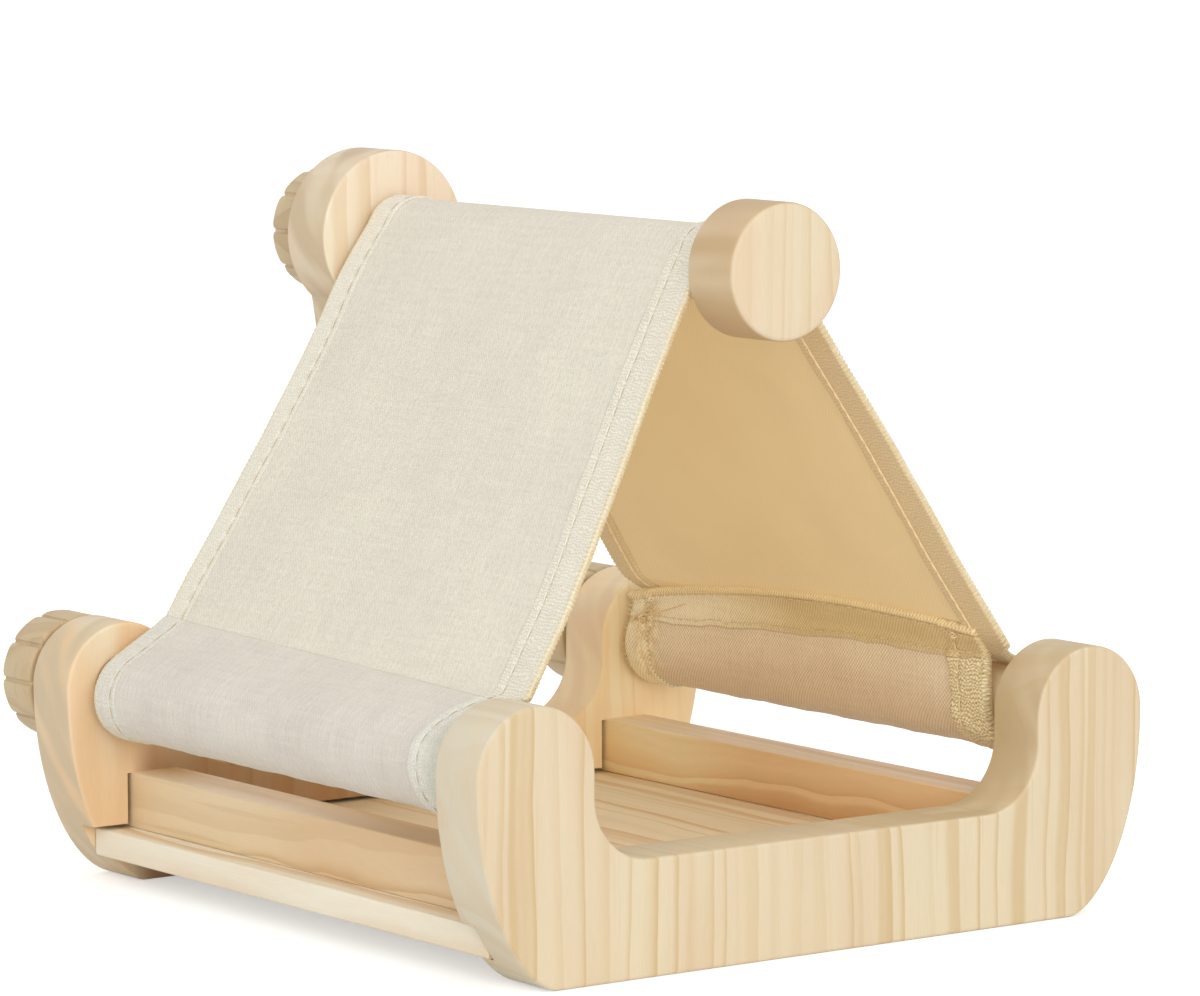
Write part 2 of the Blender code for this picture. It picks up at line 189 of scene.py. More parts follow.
hang_lamp("viewer_lamp", (-0.62, -1.42, 0.46), 0.8, 6.5)
hang_lamp("front_lamp", (0.35, -1.25, 1.10), 0.9, 2.6)
hang_lamp("left_lamp", (-1.30, -0.35, 1.00), 0.9, 2.2)


# Front panel. A 15 mm pine board with upright grain, sawn to a boat shape with a round lobe at each
# end for a side rod, sanded to soft edges, and grooved on its inner face for the floor and the rails.
rod_spread = 0.0716
side_rod_height = 0.0431
ridge_height = 0.1388
lobe_radius = 0.0143
foot_half_width = rod_spread - 0.0048
cutout_height = 0.0243
cutout_fillet = 0.0135
groove_depth = 0.005
snug, loose = 0.0003, 0.0010
screw_radius = 0.0023
sanded_edge = 0.0008
crisp_angle = math.radians(38)


def arc(centre, radius, start, end, steps):
    """Points in X and Z on a circle between two angles in degrees: centre + radius (cos a, sin a)."""
    turn = np.radians(np.linspace(start, end, steps + 1))
    return np.stack([centre[0] + radius * np.cos(turn), centre[1] + radius * np.sin(turn)], axis=1)


def bend(start, pull_start, pull_end, end, steps):
    """A cubic curve without its first point: the ends and pulls weighed by (1-t)^3 to t^3."""
    t = np.linspace(0, 1, steps + 1)[1:, None]
    weights = np.hstack([(1 - t) ** 3, 3 * t * (1 - t) ** 2, 3 * t * t * (1 - t), t ** 3])
    return weights @ np.array([start, pull_start, pull_end, end])


def mirrored(points):
    return points[::-1] * (-1, 1)


def shade(mesh):
    """Smooth shading, broken where the surface turns by more than the crisp angle."""
    mesh.polygons.foreach_set("use_smooth", np.full(len(mesh.polygons), True))
    mesh.set_sharp_from_angle(angle=crisp_angle)


def add_mesh(name, points, faces):
    """A piece from points and faces, with points in the same place made one, and faces outwards."""
    mesh = bpy.data.meshes.new(name)
    mesh.from_pydata(np.asarray(points).reshape(-1, 3).tolist(), [], faces)
    work = bmesh.new()
    work.from_mesh(mesh)
    bmesh.ops.remove_doubles(work, verts=work.verts, dist=1e-7)
    bmesh.ops.recalc_face_normals(work, faces=work.faces)
    work.to_mesh(mesh)
    work.free()
    shade(mesh)
    return in_scene(name, mesh)


def grid_faces(rows, columns, wrap_rows=False, wrap_columns=False):
    """Four-cornered faces between neighbours on a grid of points, closed round either way if asked."""
    index = np.arange(rows * columns).reshape(rows, columns)
    if wrap_rows:
        index = np.vstack([index, index[:1]])
    if wrap_columns:
        index = np.hstack([index, index[:, :1]])
    quads = np.stack([index[:-1, :-1], index[:-1, 1:], index[1:, 1:], index[1:, :-1]], axis=-1)
    return quads.reshape(-1, 4).tolist()


def sanded_board(name, outline, y_low, y_high, edge):
    """A board sawn to an outline in X and Z. Through its thickness the outline is drawn in by
    edge (1 - sin a) where it stands edge (1 - cos a) from a face, so both rims are quarter circles."""
    ahead = np.roll(outline, -1, axis=0) - np.roll(outline, 1, axis=0)
    ahead /= np.linalg.norm(ahead, axis=1, keepdims=True)
    inward = np.stack([-ahead[:, 1], ahead[:, 0]], axis=1)
    turn = np.radians(np.linspace(0, 90, 6))
    drawn_in = np.concatenate([[1.5 * edge], edge * (1 - np.sin(turn))])
    depth = np.concatenate([[0], edge * (1 - np.cos(turn))])
    levels = np.concatenate([y_low + depth, y_high - depth[::-1]])
    drawn_in = np.concatenate([drawn_in, drawn_in[::-1]])
    flat = outline[None] + inward[None] * drawn_in[:, None, None]
    across = np.broadcast_to(levels[:, None], flat.shape[:2])
    points = np.stack([flat[..., 0], across, flat[..., 1]], axis=2)
    rows, columns = across.shape
    faces = grid_faces(rows, columns, wrap_columns=True)
    faces += [list(range(columns)), list(range((rows - 1) * columns, rows * columns))]
    return add_mesh(name, points, faces)


def box_tool(low, high):
    """The space of a router's cut, as a box between two corners."""
    work = bmesh.new()
    bmesh.ops.create_cube(work, size=1)
    size, middle = np.subtract(high, low), np.add(high, low) / 2
    place = Matrix.Translation(middle) @ Matrix.Diagonal((*size, 1))
    bmesh.ops.transform(work, matrix=place, verts=work.verts)
    return tool_from(work)


def drill_tool(x, z, radius, y_low, y_high):
    """The space of a drill that goes in along Y."""
    work = bmesh.new()
    place = Matrix.Translation((x, (y_low + y_high) / 2, z)) @ Matrix.Rotation(math.pi / 2, 4, "X")
    bmesh.ops.create_cone(work, cap_ends=True, segments=40, radius1=radius, radius2=radius,
                          depth=y_high - y_low, matrix=place)
    return tool_from(work)


def tool_from(work):
    mesh = bpy.data.meshes.new("tool")
    work.to_mesh(mesh)
    work.free()
    return in_scene("tool", mesh)


def carve(piece, tools):
    """Takes every tool's space out of the piece, and then the tools away."""
    for tool in tools:
        cut = piece.modifiers.new("cut", "BOOLEAN")
        cut.operation = "DIFFERENCE"
        cut.solver = "EXACT"
        cut.object = tool
    shape = piece.evaluated_get(bpy.context.evaluated_depsgraph_get())
    carved = bpy.data.meshes.new_from_object(shape)
    piece.modifiers.clear()
    piece.data = carved
    carved.name = piece.name
    shade(carved)
    for tool in tools:
        bpy.data.objects.remove(tool)


def panel_flank():
    """The right side of a panel: foot, rising corner, lobe, and the fillet down to the cutout."""
    lobe_edge = (rod_spread + lobe_radius, side_rod_height)
    corner = bend((foot_half_width, 0), (foot_half_width + 0.0090, 0.0018),
                  (lobe_edge[0], side_rod_height - 0.0247), lobe_edge, 48)
    lobe = arc((rod_spread, side_rod_height), lobe_radius, 0, 180, 60)
    wall = rod_spread - lobe_radius
    fillet = arc((wall - cutout_fillet, cutout_height + cutout_fillet), cutout_fillet, 0, -90, 28)
    foot = np.array([(0.98 * foot_half_width, 0), (foot_half_width, 0)])
    return np.concatenate([foot, corner, lobe[1:], fillet])


front_face, front_inner = (corner.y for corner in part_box("front_panel"))
rear_inner, back_face = (corner.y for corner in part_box("rear_panel"))
floor_low, floor_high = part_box("floor_board")
rail_low, rail_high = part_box("right_rail")


def groove_tools(face, into):
    """Router cuts in a panel's inner face: one slot for the floor, and a notch for each rail."""
    y_low, y_high = sorted((face - into * groove_depth, face + into * groove_depth))
    reach = rod_spread + 2 * lobe_radius
    tools = [box_tool((-reach, y_low, floor_low.z - snug), (reach, y_high, floor_high.z + loose))]
    for side in (-1, 1):
        edges = sorted((side * rail_low.x, side * rail_high.x))
        tools.append(box_tool((edges[0] - loose, y_low, floor_high.z - 0.003),
                              (edges[1] + snug, y_high, rail_high.z - 0.0002)))
    return tools


flank = panel_flank()
front_outline = np.concatenate([mirrored(flank), flank])
front_panel = sanded_board("front_board", front_outline, front_face, front_inner, sanded_edge)
screw_holes = [drill_tool(side * rod_spread, side_rod_height, screw_radius, front_inner - 0.0093,
                          front_inner + 0.001) for side in (-1, 1)]
carve(front_panel, groove_tools(front_inner, -1) + screw_holes)


def effect_group(name, inputs, outputs):
    """An empty shader group with sockets named by kind: its tree, the flow that brings values in, and
    the node that gives them out."""
    tree = bpy.data.node_groups.new(name, "ShaderNodeTree")
    for way, sockets in (("INPUT", inputs), ("OUTPUT", outputs)):
        for kind, labels in sockets.items():
            for label in labels.split():
                tree.interface.new_socket(name=label, in_out=way, socket_type="NodeSocket" + kind)
    return tree, put(tree, "NodeGroupInput"), tree.nodes.new("NodeGroupOutput")


def cloudy(place, stretch, detail=2.0):
    """Noise over a place, stretched by a factor on each axis, from 0 to 1."""
    scaled = put(place.tree, "ShaderNodeVectorMath", {0: place, 1: stretch}, operation="MULTIPLY")
    return put(place.tree, "ShaderNodeTexNoise", {"Vector": scaled, "Scale": 1.0, "Detail": detail})


def ease(value, low, high, to_low=0.0, to_high=1.0):
    """A smooth step of a value from one level to another between two limits."""
    feeds = {0: value, 1: low, 2: high, 3: to_low, 4: to_high}
    return put(value.tree, "ShaderNodeMapRange", feeds, interpolation_type="SMOOTHSTEP")


def toned(colour, tone):
    """A colour times a tone."""
    grey = put(tone.tree, "ShaderNodeCombineXYZ", {0: tone, 1: tone, 2: tone})
    return blended(1.0, colour, grey, "MULTIPLY")


def relief(height, strength, distance):
    """Bumps on a surface, up to a distance in metres."""
    feeds = {"Strength": strength, "Distance": distance, "Height": height}
    return put(height.tree, "ShaderNodeBump", feeds)


def grain_group():
    """Pine's figure, with Place in mm, X across the growth rings and Z along the fibres. Each ring
    darkens towards its late wood and ends there. Slow noise bends the rings and fine noise makes fibres."""
    tree, given, result = effect_group(
        "pine_figure",
        {"Vector": "Place Patch", "Float": "Facing Ring Wander Lean Depth Slant",
         "Color": "Pale Warm Line Sawn"},
        {"Color": "Color", "Float": "Roughness Height"})
    place, facing = given["Place"], given["Facing"]
    part = put(tree, "ShaderNodeSeparateXYZ", {0: place})
    slow = cloudy(place, (0.035, 0.03, 0.010)) - 0.5
    quick = cloudy(place, (0.12, 0.05, 0.045)) - 0.5
    across = slow * given["Wander"] + part[0] + quick * given["Wander"] * 0.12 + part[1] * given["Lean"]
    uneven = put(tree, "ShaderNodeTexNoise", {"W": across * 0.11, "Scale": 1.0, "Detail": 2.0},
                 noise_dimensions="1D")
    phase = uneven * 2.6 + across / given["Ring"]
    ring = phase.calc("FRACT")
    chance = put(tree, "ShaderNodeTexWhiteNoise", {"W": phase.calc("FLOOR")}, noise_dimensions="1D")
    late = ease(ring, 0.35, 0.93) * ease(ring, 0.93, 1.0, 1.0, 0.0) * ease(chance, -0.2, 1.0, 0.15, 1.0)
    thin = ease(cloudy(place, (1.3, 0.5, 0.02), 1.0), 0.60, 0.76) * facing * 0.40
    line = late.calc("MAXIMUM", thin) * given["Depth"] * ease(facing, 0.25, 0.85, 0.45, 1.0)
    fibre = cloudy(place, (5.0, 5.0, 0.22), 3.0)
    broad = ease(cloudy(place, (0.07, 0.05, 0.012), 1.0), 0.35, 0.68)
    slanted = put(tree, "ShaderNodeVectorRotate",
                  {"Vector": place, "Axis": (1, 0, 0), "Angle": given["Slant"]})
    patches = cloudy(slanted, given["Patch"], 1.0)
    sawn = ease(facing, 0.85, 0.35) * ease(patches, 0.36, 0.60, 0.30, 1.0)
    colour = blended(sawn, blended(broad, given["Pale"], given["Warm"]), given["Sawn"])
    colour = toned(blended(line, colour, given["Line"]), fibre * 0.14 + 0.93)
    feed(result, {"Color": colour, "Roughness": fibre * 0.22 + 0.42, "Height": line * 0.12 + fibre})
    return tree


pine_figure = grain_group()
grain_upright = (0, 0, 0)
grain_front_to_back = (math.pi / 2, 0, 0)
pine_cream = (226, 210, 178)
pine_blush = (222, 199, 166)
pine_line = (205, 174, 122)
pine_sawn = ((223, 212, 187), (207, 186, 148))


def pine_finish(name, grain, shift, ring, pale=pine_cream, warm=pine_blush, line=pine_line,
                sawn=pine_sawn, broad=None, wander=9.0, lean=0.12, depth=0.75,
                patch=(0.05, 0.13, 0.04), slant=0.6, places=()):
    """Sanded pine under a thin matt varnish. Grain turns the figure, and shift in mm picks the cut.
    Where the surface turns away from the broad axis, 0 to 2, it shows the sawn tints, the first at
    the left end and the second at the right, in patches of their own scale and slant. Places gives
    other tints to parts of a board, each between limits in metres along one or more axes, or from a
    point on the board's face."""
    material, tree, surface = new_finish(name)
    place = put(tree, "ShaderNodeTexCoord")["Object"]
    part = put(tree, "ShaderNodeSeparateXYZ", {0: place})
    facing, sawn_tint = 1.0, sawn[0]
    if broad is not None:
        facing = put(tree, "ShaderNodeSeparateXYZ", {0: place["Normal"]})[broad].calc("ABSOLUTE")
        sawn_tint = blended(ease(part[0], -0.05, 0.05), *sawn)
    tints = {"Pale": pale, "Warm": warm, "Line": line, "Sawn": sawn_tint}
    # Some places carry painted light and some painted shade; the boards below say which.
    for limits, others in places:
        share = 1.0
        for axis, low, high in limits:
            if isinstance(axis, tuple):
                spot = put(tree, "ShaderNodeVectorMath", {0: place, 1: (1, 0, 1)}, operation="MULTIPLY")
                spot = put(tree, "ShaderNodeVectorMath", {0: spot, 1: axis}, operation="DISTANCE")
                measure = spot["Value"]
            else:
                measure = part[axis]
            share = ease(measure, low, high) * share
        for key, tint in others.items():
            tints[key] = blended(share, tints[key], tint)
    tints = {key: paint(tint) for key, tint in tints.items()}
    turned = put(tree, "ShaderNodeMapping", {0: place, 1: shift, 2: grain, 3: (1000, 1000, 1000)})
    figure = put(tree, "ShaderNodeGroup",
                 {"Place": turned, "Facing": facing, "Ring": ring, "Wander": wander, "Lean": lean,
                  "Depth": depth, "Patch": patch, "Slant": slant, **tints}, node_tree=pine_figure)
    feed(surface, {"Base Color": figure["Color"], "Roughness": figure["Roughness"],
                   "Normal": relief(figure["Height"], 0.25, 0.00004), "Specular IOR Level": 0.35})
    return material


def place_piece(piece, finish, body, slot, *nodes):
    """Finishes a piece, lets it move with its body, and has it stand for its CAD nodes."""
    piece.data.materials.clear()
    piece.data.materials.append(finish)
    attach(piece, body)
    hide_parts(*nodes)


front_pine = pine_finish("front_panel_pine", grain_upright, (3, 0, 0), 6.0, broad=1)
place_piece(front_panel, front_pine, "base", "pine", "front_panel")


# Rear panel. The same board with a post left standing between two cutouts. The post sweeps in to a
# slim neck and carries a round head for the ridge rod. Each clamp's bolt passes through its own hole.
head_radius = 0.0188
neck_half_width = 0.0093
neck_waist = ridge_height - 0.0518
neck_root_half_width = neck_half_width + 0.0033
bolt_radius = 0.0033
rod_places = {"ridge": (0, ridge_height), "left": (-rod_spread, side_rod_height),
              "right": (rod_spread, side_rod_height)}


def neck_and_head():
    """The right side of the post: from the cutout's floor into the neck, and round the head to its top."""
    foot = (rod_spread - 0.0274, cutout_height)
    flare = neck_waist - foot[1]
    waist = (neck_half_width, neck_waist)
    drop = math.sqrt(head_radius ** 2 - neck_root_half_width ** 2)
    root = (neck_root_half_width, ridge_height - drop)
    rise = root[1] - waist[1]
    lower = bend(foot, (foot[0] - 0.42 * flare, foot[1]), (waist[0], foot[1] + 0.31 * flare), waist, 44)
    upper = bend(waist, (waist[0], waist[1] + rise / 2), (root[0] - 0.0011, root[1] - rise / 6), root, 20)
    start = math.degrees(math.atan2(-drop, neck_root_half_width))
    head = arc((0, ridge_height), head_radius, start, 90, 64)
    return np.concatenate([[foot], lower, upper, head[1:]])


rear_side = np.concatenate([flank, neck_and_head()])
rear_outline = np.concatenate([mirrored(rear_side)[1:], rear_side])
rear_panel = sanded_board("rear_board", rear_outline, rear_inner, back_face, sanded_edge)
bolt_holes = [drill_tool(*place, bolt_radius, rear_inner - 0.001, back_face + 0.001)
              for place in rod_places.values()]
carve(rear_panel, groove_tools(rear_inner, 1) + bolt_holes)
# Other tints: a paler, less orange head; painted light that makes the right lobe's inner side paler
# where it lies in shade; painted shade on a strip of the inner face under the left sleeve; and a thin
# painted shadow round each sleeve's end.
rear_places = [
    ([(2, 0.07, 0.11)], {"Pale": (241, 227, 201), "Warm": (241, 215, 185)}),
    # Painted light: the right part of the panel, all but its back face, paler where it lies in shade.
    ([(0, 0.030, 0.052), (1, 0.0779, 0.0765)],
     {"Pale": (255, 239, 200), "Warm": (255, 224, 174), "Line": (244, 208, 154),
      "Sawn": (243, 219, 184)}),
    # Painted shade: the lower left of the inner face, darker under the left sleeve.
    ([(0, -0.071, -0.064), (0, 0.020, -0.014), (1, 0.070, 0.066), (2, 0.036, 0.024)],
     {"Pale": (190, 160, 126), "Warm": (190, 148, 108), "Line": (170, 130, 88)}),
]
# Painted shadow: a darker disc round each side rod on the inner face, hidden by the sleeve but for a thin
# line beside its end.
sleeve_shade = {key: (132, 96, 62) for key in ("Pale", "Warm", "Line")}
rear_places += [([((side * rod_spread, 0, side_rod_height), 0.0078, 0.0066), (1, 0.0645, 0.0638)],
                 sleeve_shade) for side in (-1, 1)]
rear_pine = pine_finish("rear_panel_pine", grain_upright, (41, 17, 9), 8.0, (240, 222, 190),
                        (241, 205, 160), (220, 184, 136),
                        ((214, 193, 158), (200, 178, 148)), broad=1, depth=0.5, places=rear_places)
place_piece(rear_panel, rear_pine, "base", "pine", "rear_panel")


# Floor board. Thin pine with its grain from front to back, held in both panels' slots. Its long edges
# show under the sides of the bed.
def bar_outline(low, high, edge):
    """A rectangle in X and Z with its corners rounded."""
    corners = [((high.x - edge, low.z + edge), -90), ((high.x - edge, high.z - edge), 0),
               ((low.x + edge, high.z - edge), 90), ((low.x + edge, low.z + edge), 180)]
    return np.concatenate([arc(centre, edge, start, start + 90, 5) for centre, start in corners])


floor_board = sanded_board("floor_of_bed", bar_outline(floor_low, floor_high, 0.0005), floor_low.y,
                           floor_high.y, 0.0004)
# Painted shade: the board's sawn edges and ends darker towards its front end.
floor_places = [([(1, -0.045, -0.072)], {"Sawn": (226, 208, 176)})]
floor_pine = pine_finish("floor_pine", grain_front_to_back, (12, 5, 60), 7.5, (252, 246, 226),
                         (250, 239, 216), (226, 190, 142),
                         ((247, 233, 207), (238, 222, 194)), broad=2, wander=14.0, lean=0.6,
                         patch=(0.12, 0.12, 0.01), slant=0.0, places=floor_places)
place_piece(floor_board, floor_pine, "base", "pine", "floor_board")


# Rails. Two square pine bars that stand on the floor's edges inside the lobes and hold the bedding in.
# The right one is tinted a warmer orange than the left. Painted shade darkens the left rail's sawn
# faces towards the front, and painted light makes the right rail paler towards the back.
rail_tints = {
    "left_rail": ((237, 214, 175), (230, 199, 157), (205, 165, 112), (55, 30, 20),
                  # painted shade: sawn faces darker towards the front
                  [([(1, 0.010, -0.050)], {"Sawn": (204, 178, 142)})]),
    "right_rail": ((245, 213, 168), (240, 197, 144), (210, 156, 100), (23, 11, 75),
                   # painted light: paler towards the back
                   [([(1, 0.000, 0.045)], {"Pale": (255, 243, 203), "Warm": (255, 227, 177),
                                           "Line": (234, 183, 124)})]),
}
rail_top = (254, 239, 217)
into_floor = 0.00025
for node, (pale, warm, line, shift, places) in rail_tints.items():
    low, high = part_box(node)
    low.z -= into_floor
    rail = sanded_board(node + "_bar", bar_outline(low, high, 0.0004), low.y, high.y, 0.0004)
    finish = pine_finish(node + "_pine", grain_front_to_back, shift, 5.5, pale, warm, line,
                         (rail_top, rail_top), broad=0, wander=16.0, lean=0.8, patch=(0.12, 0.12, 0.01),
                         slant=0.0, places=places)
    place_piece(rail, finish, "base", "pine", node)


# Rods. Three 15 mm pine dowels with eased ends. Each is screwed to the front and has the clamp's bolt
# in its back end.
def about_axis(place, radius, along, turn):
    """Points about an axis along Y: its place in X and Z plus radius (cos a, sin a), at along in Y."""
    return np.stack([place[0] + radius * np.cos(turn), np.broadcast_to(along, radius.shape),
                     place[1] + radius * np.sin(turn)], axis=2)


def turned_piece(name, profile, place, turns=72, wrap=False):
    """A piece turned about Y: each point of a profile of radius and Y, carried round a full circle."""
    profile = np.asarray(profile)
    turn = np.linspace(0, 2 * np.pi, turns, endpoint=False)
    radius = np.broadcast_to(profile[:, :1], (len(profile), turns))
    return add_mesh(name, about_axis(place, radius, profile[:, 1:], turn),
                    grid_faces(len(profile), turns, wrap, True))


def rim(radius, y, edge, inward):
    """A quarter circle from an end face at y round to the side. Inward is the way into the piece."""
    turn = np.radians(np.linspace(0, 90, 6))
    return np.stack([radius - edge * (1 - np.sin(turn)), y + inward * edge * (1 - np.cos(turn))], axis=1)


def drilled_rod(y_low, y_high, radius, edge):
    """A dowel's profile with a blind hole in each end, from the back hole's floor round."""
    screw_floor, bolt_floor = y_low + screw_depth, y_high - bolt_depth
    back = [(0, bolt_floor), (bolt_radius, bolt_floor), (bolt_radius, y_high)]
    front = [(screw_radius, y_low), (screw_radius, screw_floor), (0, screw_floor)]
    return np.concatenate([back, rim(radius, y_high, edge, -1), rim(radius, y_low, edge, 1)[::-1], front])


screw_depth = 0.0143
bolt_depth = 0.0203
for name, (x, z) in rod_places.items():
    low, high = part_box(name + "_rod")
    profile = drilled_rod(low.y, high.y, (high.x - low.x) / 2, 0.0007)
    rod = turned_piece(name + "_dowel", profile, (x, z))
    finish = pine_finish(name + "_dowel_pine", grain_front_to_back, (x * 900, 40, z * 800), 3.2,
                         (236, 214, 178), (228, 198, 158), (206, 170, 118))
    place_piece(rod, finish, "base", "pine", name + "_rod")


# End knob. A thick round pine disc on the front of the ridge rod, cut across a board, so its face shows
# upright lines and its side runs from pale to darker wood.
knob_low, knob_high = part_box("ridge_end_knob")
knob_radius = (knob_high.x - knob_low.x) / 2
knob_hole_floor = knob_high.y - 0.0060
knob_profile = np.concatenate([
    [(0, knob_hole_floor), (screw_radius, knob_hole_floor), (screw_radius, knob_high.y)],
    rim(knob_radius, knob_high.y, 0.0010, -1),
    rim(knob_radius, knob_low.y, 0.0012, 1)[::-1],
    [(0.6 * knob_radius, knob_low.y), (0, knob_low.y)]])
end_knob = turned_piece("end_knob_disc", knob_profile, rod_places["ridge"], 112)
knob_side = (202, 172, 130)
knob_pine = pine_finish("end_knob_pine", grain_upright, (8, 3, 30), 4.2, (227, 211, 180),
                        (225, 197, 163), sawn=(knob_side, knob_side),
                        broad=1, depth=0.4, patch=(0.02, 0.02, 0.14), slant=0.0)
place_piece(end_knob, knob_pine, "base", "pine", "ridge_end_knob")


# Rear clamps. In each rod's back end sits an M6 hanger bolt. It carries a zinc-plated washer and a
# fluted pine knob with a brass insert, which pull cage wires against the panel.
def metal_finish(name, colour, roughness):
    """Plated or turned metal: fine marks round the turning axis and a faint uneven sheen."""
    material, tree, surface = new_finish(name)
    place = put(tree, "ShaderNodeTexCoord")["Object"]
    marks = cloudy(place, (2500, 9000, 2500), 3.0)
    darker = tuple(0.82 * part for part in paint(colour)[:3]) + (1.0,)
    tint = blended(cloudy(place, (350, 350, 350)), darker, colour)
    feed(surface, {"Metallic": 1.0, "Base Color": tint, "Roughness": marks * 0.22 + roughness,
                   "Normal": relief(marks, 0.25, 0.00003)})
    return material


zinc = metal_finish("zinc_plate", (206, 208, 210), 0.26)
brass = metal_finish("turned_brass", (214, 184, 116), 0.22)
thread_pitch = 0.001
thread_depth = 0.00045
thread_fade = 0.0012
bolt_sides = 28
insert_hole = (0.0048, 0.0078)
flute_count = 10
flute_radius = 0.00055
flute_depth = 0.0008


def threaded_bolt(name, place, y_low, y_high, radius):
    """A bolt along Y. Its radius falls by the depth times |2 fract(y / pitch - turn / 2 pi) - 1|, a
    V-shaped thread, and fades to the core at both ends."""
    rows = int((y_high - y_low) / thread_pitch * 6)
    y = np.linspace(y_low, y_high, rows)[:, None]
    turn = np.linspace(0, 2 * np.pi, bolt_sides, endpoint=False)
    wave = np.abs(2 * np.mod(y / thread_pitch - turn / (2 * np.pi), 1) - 1)
    reach = np.clip(np.minimum(y - y_low, y_high - y) / thread_fade, 0, 1)
    cut = thread_depth * (1 - wave * np.minimum(1, 0.2 + reach))
    radius = (radius - cut) * np.sqrt(0.55 + 0.45 * reach)
    points = about_axis(place, radius, y, turn)
    first, last = np.repeat(points[[0, -1]].mean(axis=1, keepdims=True), bolt_sides, axis=1)
    points = np.concatenate([first[None], points, last[None]])
    return add_mesh(name, points, grid_faces(rows + 2, bolt_sides, wrap_columns=True))


def fluted_knob(name, place, low_y, high_y, radius, hole):
    """A disc turned about Y with round flutes in its side. Where a flute of radius f stands at angle 0
    on a ring c, the side lies at c cos a - sqrt(f^2 - c^2 sin^2 a), and all inner rings follow a share."""
    profile = np.concatenate([
        [(0, high_y), (0.55 * radius, high_y), (0.80 * radius, high_y)],
        rim(radius, high_y, 0.0015, -1), rim(radius, low_y, 0.0009, 1)[::-1],
        [(0.75 * radius, low_y), (hole[0], low_y), (hole[0], low_y + hole[1]), (0, low_y + hole[1])]])
    sector = 2 * np.pi / flute_count
    ring = radius + flute_radius - flute_depth
    half_flute = math.asin(flute_radius / ring)
    in_flute = half_flute * np.sin(np.radians(np.linspace(-90, 90, 13)))
    between = np.linspace(half_flute, sector - half_flute, 9)[1:-1]
    local = np.concatenate([in_flute, between])
    turn = (np.arange(flute_count)[:, None] * sector + local).reshape(-1)
    inside = np.maximum(flute_radius ** 2 - (ring * np.sin(in_flute)) ** 2, 0)
    side = np.concatenate([ring * np.cos(in_flute) - np.sqrt(inside), np.full(len(between), radius)])
    side = np.tile(side, flute_count)
    share = np.clip((profile[:, :1] / radius - 0.62) / 0.38, 0, 1) ** 2
    reach = profile[:, :1] - (radius - side) * share
    return add_mesh(name, about_axis(place, reach, profile[:, 1:], turn),
                    grid_faces(len(profile), len(turn), wrap_columns=True))


for name, place in rod_places.items():
    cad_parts[name + "_dowel_screw"].material_slots[0].material = zinc
    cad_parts[name + "_knob_insert"].material_slots[0].material = brass
    low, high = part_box(name + "_hanger_bolt")
    bolt = threaded_bolt(name + "_bolt", place, low.y, high.y, (high.x - low.x) / 2)
    place_piece(bolt, zinc, "base", "zinc_plated_steel", name + "_hanger_bolt")
    low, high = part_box(name + "_clamp_washer")
    outer = (high.x - low.x) / 2
    hole = [(bolt_radius, low.y), (bolt_radius, high.y)]
    profile = np.concatenate([hole, rim(outer, high.y, 0.0004, -1), rim(outer, low.y, 0.0003, 1)[::-1]])
    washer = turned_piece(name + "_washer_ring", profile, place, 72, True)
    place_piece(washer, zinc, name + "_washer", "zinc_plated_steel", name + "_clamp_washer")
    low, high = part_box(name + "_clamp_knob")
    knob = fluted_knob(name + "_fluted_knob", place, low.y, high.y, (high.x - low.x) / 2, insert_hole)
    finish = pine_finish(name + "_knob_pine", grain_upright, (place[0] * 700 + 5, 25, 13), 4.0,
                         (214, 195, 159), (207, 183, 145), (184, 156, 114), depth=0.5)
    place_piece(knob, finish, name + "_knob", "pine", name + "_clamp_knob")


# Canvas cover. One length of unbleached canvas over the ridge rod. Each end goes round a side rod as a
# sleeve and is sewn to the inside of its slope. Both edges are turned to the inside and stitched.
cloth = 0.0009
cloth_room = 0.0003
sleeve_room = 0.0014
sleeve_drop = 0.0012
rod_radius = 0.0075
ridge = np.array((0, ridge_height))
side_rod = np.array((rod_spread, side_rod_height))
loop_middle = side_rod - (0, sleeve_drop)
ridge_reach = rod_radius + cloth_room + cloth / 2
loop_reach = rod_radius + cloth / 2 + sleeve_room

# On the cloth itself, in mm.
cut_width = 137.0
half_cloth = 0.36
hem_fold = 0.7
front_hem, rear_hem = 11.5, 8.5
front_stitch, rear_stitch = 8.6, 6.4


def touching(centre, radius, point, side):
    """Angle about the centre where a line from the point touches the circle: the point's own angle,
    plus or minus acos(radius / distance)."""
    offset = np.asarray(point) - centre
    spread = np.arccos(radius / np.linalg.norm(offset, axis=-1))
    return np.arctan2(offset[..., 1], offset[..., 0]) + side * spread


ridge_touch = touching(ridge, ridge_reach, side_rod, 1)
slope_down = np.array((math.sin(ridge_touch), -math.cos(ridge_touch)))
slope_out = np.array((math.cos(ridge_touch), math.sin(ridge_touch)))
slope_length = math.sqrt(np.sum((ridge - side_rod) ** 2) - ridge_reach ** 2)

